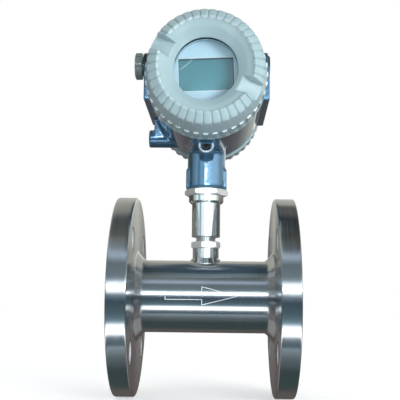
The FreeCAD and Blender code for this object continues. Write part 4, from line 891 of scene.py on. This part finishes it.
def cover_surface(profile, shoulder_out, slot_floor, slot_rise):
    """Moves the points of a turned profile to form teeth, ribs and slots.

    The tooth gap lowers the radius near the mouth. A rib is an arch between two narrow grooves, which sink
    along the bevel's normal and fade out along the wall. The ribs' round inner ends stand a step above the
    dish. A slot caps how far out any point may stand, and its floor falls towards the wall. The last result
    is the painted highlight on each point: a bright line along the ribs' ends and on the teeth's faces,
    where they would catch the light."""
    out, radius, angle = turned(profile, COVER_SAMPLES)
    from_gap = from_nearest(angle, TOOTH_PHASE, radius)[1]
    outside = radius > TOOTH_SKIN
    in_gap = 1 - smooth_step(from_gap, *TOOTH_GAP)
    gap = in_gap * smooth_step(out, *LIP_EDGE) * (outside & (out < TOOTH_TOP))
    radius = radius - np.maximum(radius - WALL_RADIUS, 0) * gap

    across, from_groove = from_nearest(angle, RIB_PHASE, radius)
    skin_from = np.where(radius > BEVEL_START, shoulder_out - SHOULDER_SLACK, slot_floor)
    front_skin = 1.0 * ((radius > DISH_START) & (radius < BEVEL_END) & (out > skin_from))
    groove = GROOVE_DEPTH * np.exp(-(from_groove / GROOVE_WIDTH) ** 2) + RIB_ARCH * (1 - across) ** 2
    groove = groove * smooth_step(radius, *GROOVE_FADE)
    rib_from = RIB_START - RIB_END_ROUND * np.sqrt(np.clip(1 - (1 - across) ** 2, 0, 1))
    raised = smooth_step(radius, rib_from - RIB_SOFT, rib_from + RIB_SOFT)
    step = RIB_STEP * (1 - raised) * smooth_step(radius, *DISH_FADE)
    out = out - front_skin * np.maximum(step, groove)
    # Painted highlight along each rib's round end and on the teeth's faces
    line = np.exp(-((radius - rib_from - LINE_SHIFT) / LINE_WIDTH) ** 2) * smooth_step(across, *LINE_SIDES)
    face = outside & (np.abs(out - TOOTH_END) < FACE_REACH) & (in_gap < FACE_GAP)
    painted_highlight = np.maximum(line * front_skin, FACE_HIGHLIGHT * face)

    wall = (radius > NOTCH_RADIUS) & (out > NOTCH_FOOT)
    along_wall = smooth_step(out, shoulder_out - NOTCH_LENGTH, shoulder_out - NOTCH_SLACK)
    radius = radius - wall * along_wall * groove * NOTCH_SHARE

    for turn in (-COVER_TURN, math.pi - COVER_TURN):
        along = radius * np.cos(angle - turn)
        aside = np.abs(radius * np.sin(angle - turn))
        inside = 1 - smooth_step(aside, SLOT_HALF - SLOT_SOFT, SLOT_HALF + SLOT_SOFT)
        inside = inside * (along > SLOT_START - SLOT_MARGIN) * (radius > SLOT_START - SLOT_MARGIN)
        fall = np.clip((along - SLOT_START) / (SLOT_FLAT - SLOT_START), -1, 1)
        out = out - np.maximum(out - slot_floor - slot_rise * (1 - fall), 0) * inside
        painted_highlight = painted_highlight * (1 - inside)
    return out, radius, angle, painted_highlight


def make_cover(name, body, mouth, facing, corners, *sizes, **more):
    """Painted cap turned about the head's axis, facing -1 to the front or +1 to the back.

    The sizes are the last three that cover_surface takes."""
    profile = round_corners(MOUTH_OUTSIDE + corners + MOUTH_INSIDE)
    out, radius, angle, painted_highlight = cover_surface(profile, *sizes)
    x, z = STEM_X + radius * np.cos(angle), HEAD_Z + radius * np.sin(angle)
    points = points_at(x, mouth + facing * out, z)
    return make_piece(name, points, "cover_paint", body, painted_highlight=painted_highlight, **more)


# %% Front cover
# How far out the shoulder and the slots' outer floor stand, and how far that floor falls
FRONT_SIZES = 40.5 * MM, 34.3 * MM, 3.6 * MM
FRONT_CORNERS = [
    (40.5, 45.2, 1.2, 0.7), (46.7, 37.6, 0.9, 0.6), (41.6, 32.5, 0.0, 1.2), (34.0, 24.9, 0.35, 0.6),
    (32.7, 24.9, 0.1, 4.0), (32.7, 29.0, 0.0, 6.0), (21.7, 29.0, 0.0, 3.0), (21.7, 31.8, 0.4, 4.0),
    (30.0, 31.8, 0.6, 5.0), (30.0, 42.5, 0.8, 6.0),
]
front_cover = make_cover("front_cover_shell", "front_cap", COVER_MOUTH, -1, FRONT_CORNERS, *FRONT_SIZES)
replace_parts(front_cover, "front_cover")

# %% Rear cover
REAR_SIZES = 27.8 * MM, 30.0 * MM, 0.0
REAR_CORNERS = [
    (27.8, 45.2, 1.2, 0.7), (34.0, 37.6, 1.0, 0.8), (34.0, 0.0, 0.0, 5.0), (26.6, 0.0, 0.0, 6.0),
    (26.6, 37.6, 1.5, 4.0), (24.7, 42.5, 0.8, 5.0),
]
rear_cover = make_cover(
    "rear_cover_shell", "rear_cap", REAR_MOUTH, 1, REAR_CORNERS, *REAR_SIZES, merge=MERGE,
)
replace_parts(rear_cover, "rear_cover")

# %% [markdown]
# The housing is a casting, so the neck flows into the barrel and every corner is a little soft. Its frame
# solid has the true walls and bores but sharp joins. A copy of it is merged and remeshed into small even
# cells, and a few passes of smoothing then round the joins as a mould would. The copy stands for the
# solid, and the machined bores keep their places.

# %% Cast housing
CAST_CELL = 1.06 * MM
CAST_SMOOTHING, NECK_SMOOTHING, NECK_LEVELS = 5, 8, 4

# Soft edges of the part that the extra smoothing takes: to the sides, at the top and foot, and in front
BLEND_SIDE, BLEND_TOP = (19 * MM, 23 * MM), (-50 * MM, -44 * MM)
BLEND_FOOT, BLEND_FRONT = (-79 * MM, -76 * MM), (-36 * MM, -32 * MM)

SADDLE_FRONT, SADDLE_TURN, SADDLE_SLOPE = 42.0 * MM, 45.5 * MM, 1.2
SADDLE_SIDE, SADDLE_FOOT, SADDLE_BACK = 17 * MM, -53 * MM, -22 * MM
LUG_SIDE, LUG_FACE, NECK_RADIUS = 6.5 * MM, -40.02 * MM, 16.25 * MM
TAIL_SIDE, TAIL_TOP, TAIL_FOOT, TAIL_CENTRE = 9 * MM, -57 * MM, -74 * MM, 53.4 * MM
TAIL_FADE, TAIL_FRONT = (4.0 * MM, 7.5 * MM), (-38.5 * MM, -36 * MM)

# Two webs that close the lug's sides against the neck, lowest and highest corners from the head's axis
LUG_WEBS = [((3.1, -31, -58.6), (5.0, -13, -50)), ((-5.0, -31, -58.6), (-3.1, -13, -50))]


def on_head(points):
    """Points given in millimetres from the head's axis, with y from the pipe's middle, in metres."""
    return np.array(points, float) * MM + HEAD_CENTRE


def neck_share(points):
    """1 where the neck, its saddle and the lug's tail flow together, 0 elsewhere and at the lug's face."""
    x, y, z = (points - HEAD_CENTRE).T
    share = (1 - smooth_step(np.abs(x), *BLEND_SIDE)) * (1 - smooth_step(z, *BLEND_TOP))
    return share * smooth_step(z, *BLEND_FOOT) * smooth_step(y, *BLEND_FRONT)


def lean_saddle(points):
    """Leans the saddle's front back below the cover, and lets the lug's tail die away down the neck.

    A point in front of the leaning plane moves back onto it. Below the lug, a point in front of the
    neck's round goes back towards it, fully once it is far enough from the lug's own middle."""
    x, y, z = (points - HEAD_CENTRE).T
    plane = -SADDLE_FRONT + SADDLE_SLOPE * np.maximum(-SADDLE_TURN - z, 0)
    plane = np.where(np.abs(x) < LUG_SIDE, np.minimum(plane, LUG_FACE), plane)
    in_saddle = (np.abs(x) < SADDLE_SIDE) & (z > SADDLE_FOOT) & (z < -SADDLE_TURN) & (y < SADDLE_BACK)
    y = np.where(in_saddle, np.maximum(y, plane), y)
    neck = -np.sqrt(np.maximum(NECK_RADIUS ** 2 - x ** 2, 0))
    tail = (np.abs(x) < TAIL_SIDE) & (z < TAIL_TOP) & (z > TAIL_FOOT) & (y < neck)
    fade = smooth_step(np.hypot(x, z + TAIL_CENTRE), *TAIL_FADE) * smooth_step(y, *TAIL_FRONT)
    points[:, 1] = np.where(tail, y + (neck - y) * fade, y)
    return points


def make_cast_housing():
    """Remeshed and softened copy of the frame's housing."""
    mesh = nodes["housing_body"].data.copy()
    with editing(mesh) as work:
        bmesh.ops.remove_doubles(work, verts=work.verts, dist=MERGE)
        for web in LUG_WEBS:
            low, high = (Vector(corner) for corner in on_head(web))
            place = Matrix.Translation((low + high) / 2) @ Matrix.Diagonal((*(high - low), 1))
            bmesh.ops.create_cube(work, size=1, matrix=place)
    pattern = in_scene("housing_pattern", mesh)
    piece = in_scene("cast_housing", mesh.copy())
    cells = piece.modifiers.new("cells", "REMESH")
    cells.mode = "VOXEL"
    cells.voxel_size = CAST_CELL
    fit = piece.modifiers.new("fit", "SHRINKWRAP")
    fit.target = pattern
    fit.wrap_method = "NEAREST_SURFACEPOINT"
    soften = piece.modifiers.new("soften", "SMOOTH")
    soften.iterations = CAST_SMOOTHING
    piece = in_scene("cast_housing", evaluated_mesh(piece, "cast_housing"))
    bpy.data.objects.remove(pattern)
    points = np.empty(len(piece.data.vertices) * 3)
    piece.data.vertices.foreach_get("co", points)
    points = lean_saddle(points.reshape(-1, 3))
    piece.data.vertices.foreach_set("co", points.ravel())
    levels = np.ceil(neck_share(points) * NECK_LEVELS)
    blended = piece.vertex_groups.new(name="neck")
    for level in range(1, NECK_LEVELS + 1):
        blended.add(np.flatnonzero(levels == level).tolist(), level / NECK_LEVELS, "REPLACE")
    soften = piece.modifiers.new("soften_neck", "SMOOTH")
    soften.iterations = NECK_SMOOTHING
    soften.vertex_group = "neck"
    mesh = evaluated_mesh(piece, "cast_housing")
    return finish_piece("cast_housing", mesh, "blue_paint", "display_head", sharp=math.pi)


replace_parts(make_cast_housing(), "housing_body")

# %% [markdown]
# A rounded bead stands round the mouth of the locking lug under the front cover. Its pale finish is a
# painted highlight for the one bright line that its rim catches. Beads and etched lines are all one shape: a
# small section carried along a closed path. So one function sweeps a section along a path, given the
# direction in which the section's height stands.

# %% Swept sections
TIGHTEST = 0.35


def swept(path, height, section):
    """Closed path of points carrying a closed section: each point goes sideways by the section's first
    number, at right angles to the path, and along the height direction by its second."""
    height = np.broadcast_to(height, path.shape)
    forward = np.roll(path, -1, axis=0) - path
    backward = path - np.roll(path, 1, axis=0)
    side_after = np.cross(height, unit(forward))
    side = unit(side_after + np.cross(height, unit(backward)))
    stretch = 1 / np.maximum(np.sum(side * side_after, axis=1), TIGHTEST)
    aside = section[None, :, 0, None] * (side * stretch[:, None])[:, None, :]
    return path[:, None, :] + aside + section[None, :, 1, None] * height[:, None, :]


def round_section(width, rise, sides=8):
    """Half-round bead: an ellipse of the given half width and rise."""
    angle = full_turn(sides)
    return points_at(width * np.cos(angle), rise * np.sin(angle))


# %% Bead round the locking lug
# In millimetres: half the mouth's width and height above and below its middle, and the middle's place
MOUTH_HALF, MOUTH_LOWER, MOUTH_FRONT, MOUTH_DROP = 5.3, 4.6, -40.0, 52.4
MOUTH_SQUARENESS, MOUTH_STEPS, BEAD_RADIUS = 0.3, 64, 0.8 * MM
BEAD_BACK, BEAD_LEAN = 4.0 * MM, (0.45, 0.8)

turn = full_turn(MOUTH_STEPS)
upper, lower = np.maximum(np.sin(turn), 0), np.minimum(np.sin(turn), 0)
roundness = np.where(upper > 0, MOUTH_SQUARENESS, 1.0)
across = MOUTH_HALF * np.sign(np.cos(turn)) * np.abs(np.cos(turn)) ** roundness
path = points_at(across, MOUTH_FRONT, MOUTH_HALF * upper + MOUTH_LOWER * lower - MOUTH_DROP)
bead = swept(on_head(path), (0.0, -1.0, 0.0), round_section(BEAD_RADIUS, BEAD_RADIUS))
bead[..., 1] += BEAD_BACK * smooth_step(upper, *BEAD_LEAN)[:, None]
# The bead's pale finish is a painted highlight
make_piece("lug_bead", bead, "blue_paint", "display_head", look="pale_rim_highlight")

# %% [markdown]
# A weld joins the pickup boss to the pipe. Its bead follows the curve where the boss meets the round tube
# and has the small ripples that each pass of the torch leaves. The pickup's thread shows for a few
# millimetres between its lock nut and the sleeve.

# %% Weld and thread
WELD_RADIUS, WELD_LIFT, WELD_SECTION = 11.5 * MM, 0.5 * MM, (1.0 * MM, 0.7 * MM, 10)
WELD_STEPS, WELD_RIPPLES, RIPPLE_SHARE = 304, 38, 0.10

turn = full_turn(WELD_STEPS)
x, y = WELD_RADIUS * np.cos(turn), WELD_RADIUS * np.sin(turn)
path = points_at(STEM_X + x, y, np.sqrt(PIPE_RADIUS ** 2 - y ** 2) + WELD_LIFT)
weld = swept(path, unit(path * (0, 1, 1)), round_section(*WELD_SECTION))
ripple = 1 + RIPPLE_SHARE * np.cos(WELD_RIPPLES * turn)
weld = path[:, None, :] + (weld - path[:, None, :]) * ripple[:, None, None]
make_piece("boss_weld_bead", weld, "turned_steel", "meter_body")

THREAD_LOW, THREAD_HIGH, THREAD_PITCH = 46.0 * MM, 50.0 * MM, 1.0 * MM
THREAD_RADIUS, THREAD_CREST, THREAD_CORE = 8.05 * MM, 0.3 * MM, 7.2 * MM
THREAD_POINTS, THREAD_SEGMENTS = 49, 96
rise = np.linspace(THREAD_LOW, THREAD_HIGH, THREAD_POINTS)
crest = THREAD_RADIUS + THREAD_CREST * np.cos(2 * math.pi * rise / THREAD_PITCH)
core = [(THREAD_HIGH, THREAD_CORE), (THREAD_LOW, THREAD_CORE)]
up, radius, angle = turned(np.concatenate([points_at(rise, crest), core]), THREAD_SEGMENTS)
thread = points_at(STEM_X + radius * np.cos(angle), radius * np.sin(angle), up)
make_piece("stub_thread", thread, "polished_steel", "meter_body")

# %% [markdown]
# The flow arrow on the tube is an outline cut by an engraver's wheel, which leaves a narrow bright matte
# line. It is drawn flat as a closed path, then wrapped round the tube, so a height on the flat drawing
# becomes an arc. The line stands a hair proud so that it never flickers against the steel.

# %% Flow arrow
ARROW = [(-31.8, -3.0), (-2.3, -3.0), (-2.3, -7.3), (26.4, 0.0), (-2.3, 7.3), (-2.3, 3.0), (-31.8, 3.0)]
ARROW_LIFT, ARROW_RUNS = 0.4 * MM, 12
LINE_HALF, LINE_LOW, LINE_HIGH = 0.26 * MM, -0.1 * MM, 0.04 * MM

corners = np.array(ARROW) * MM
share = np.linspace(0, 1, ARROW_RUNS, endpoint=False)[None, :, None]
flat = corners[:, None, :] * (1 - share) + np.roll(corners, -1, axis=0)[:, None, :] * share
path = np.pad(flat.reshape(-1, 2), ((0, 0), (0, 1)))
section = np.array([
    (-LINE_HALF, LINE_LOW), (LINE_HALF, LINE_LOW), (LINE_HALF, LINE_HIGH), (-LINE_HALF, LINE_HIGH),
])
band = swept(path, (0.0, 0.0, 1.0), section)
angle, radius = (band[..., 1] + ARROW_LIFT) / PIPE_RADIUS, PIPE_RADIUS + band[..., 2]
arrow = points_at(STEM_X + band[..., 0], -radius * np.cos(angle), radius * np.sin(angle))
make_piece("flow_arrow", arrow, "turned_steel", "meter_body", look="etched_line")

# %% [markdown]
# Behind the window, the display is a panel in a pale bezel. A thin white frame round the panel is a painted
# highlight for the bezel's lit edge, a strip of clear film was left bent across one corner, and a bare plate
# lies along the bezel's foot.

# %% Display trim
LCD_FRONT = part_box("lcd_panel")[0].y
BEZEL_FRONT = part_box("display_bezel")[0].y
print(f"panel front at y = {LCD_FRONT * 1000:.2f} mm, bezel front at {BEZEL_FRONT * 1000:.2f} mm")

# Sections in millimetres: a place across the piece and a depth behind the bezel's or the panel's front
FRAME_SECTION, FRAME_GAP = ((0.0, 0.3), (0.55, 0.3), (0.55, -0.12), (0.0, -0.12)), 0.05 * MM
FILM_SECTION = ((-0.12, -0.02), (0.12, -0.02), (0.12, -0.12), (-0.12, -0.12))
FILM_POINTS = np.array([(-11.3, 11.6), (-12.4, 9.8), (-14.2, 8.0), (-17.0, 5.6), (-20.5, 3.0)]) * MM
FILM_STEPS = 25
PLATE_RADIUS, PLATE_TOP, PLATE_STEPS = 24.4 * MM, -17.4 * MM, 41
PLATE_FRONT, PLATE_BACK = BEZEL_FRONT - 0.55 * MM, BEZEL_FRONT + 0.05 * MM
TRIM_SHARP = 0.5


def on_display(across, y, rise):
    """Points given across and up the panel, which is turned a little in the head."""
    x = across * math.cos(DISPLAY_TURN) - rise * math.sin(DISPLAY_TURN)
    z = across * math.sin(DISPLAY_TURN) + rise * math.cos(DISPLAY_TURN)
    return points_at(STEM_X + x, y, HEAD_Z + z)


# The white frame is a painted highlight for the bezel's lit edge round the panel
half = np.array([LCD_WIDTH / 2, LCD_HEIGHT / 2]) + FRAME_GAP
edging = []
for offset, depth in FRAME_SECTION:
    across, rise = (np.array(SQUARE) * (half + offset * MM)).T
    edging.append(on_display(across, BEZEL_FRONT + depth * MM, rise - LCD_DROP))
edging = np.stack(edging)
make_piece("lcd_edge_highlight", edging, "bezel_plastic", "display_head", look="white_film_and_highlight", sharp=TRIM_SHARP)

bend = np.polyfit(np.linspace(0, 1, len(FILM_POINTS)), FILM_POINTS, 2)
curve = np.vander(np.linspace(0, 1, FILM_STEPS), 3) @ bend
slope = np.gradient(curve, axis=0)
normal = unit(points_at(-slope[:, 1], slope[:, 0]))
film = []
for aside, depth in FILM_SECTION:
    x, z = (curve + normal * aside * MM).T
    film.append(points_at(STEM_X + x, LCD_FRONT + depth * MM, HEAD_Z + z))
film = np.stack(film)
start, end = (np.broadcast_to(film[:, at].mean(axis=0), (4, 1, 3)) for at in (0, -1))
film = np.concatenate([start, film, end], axis=1)
make_piece(
    "film_edge", film, "bezel_plastic", "display_head", close_columns=False, look="white_film_and_highlight",
    merge=FINE_MERGE,
)

reach = math.sqrt(PLATE_RADIUS ** 2 - PLATE_TOP ** 2)
across = np.linspace(-reach, reach, PLATE_STEPS)
top = np.full(PLATE_STEPS, PLATE_TOP)
foot = np.minimum(-np.sqrt(np.maximum(PLATE_RADIUS ** 2 - across ** 2, 0)), PLATE_TOP)
plate = np.stack([
    on_display(across, y, rise)
    for rise, y in ((top, PLATE_BACK), (top, PLATE_FRONT), (foot, PLATE_FRONT), (foot, PLATE_BACK))
])
make_piece(
    "bezel_foot_plate", plate, "bezel_plastic", "display_head", close_columns=False,
    merge=FINE_MERGE, sharp=TRIM_SHARP,
)
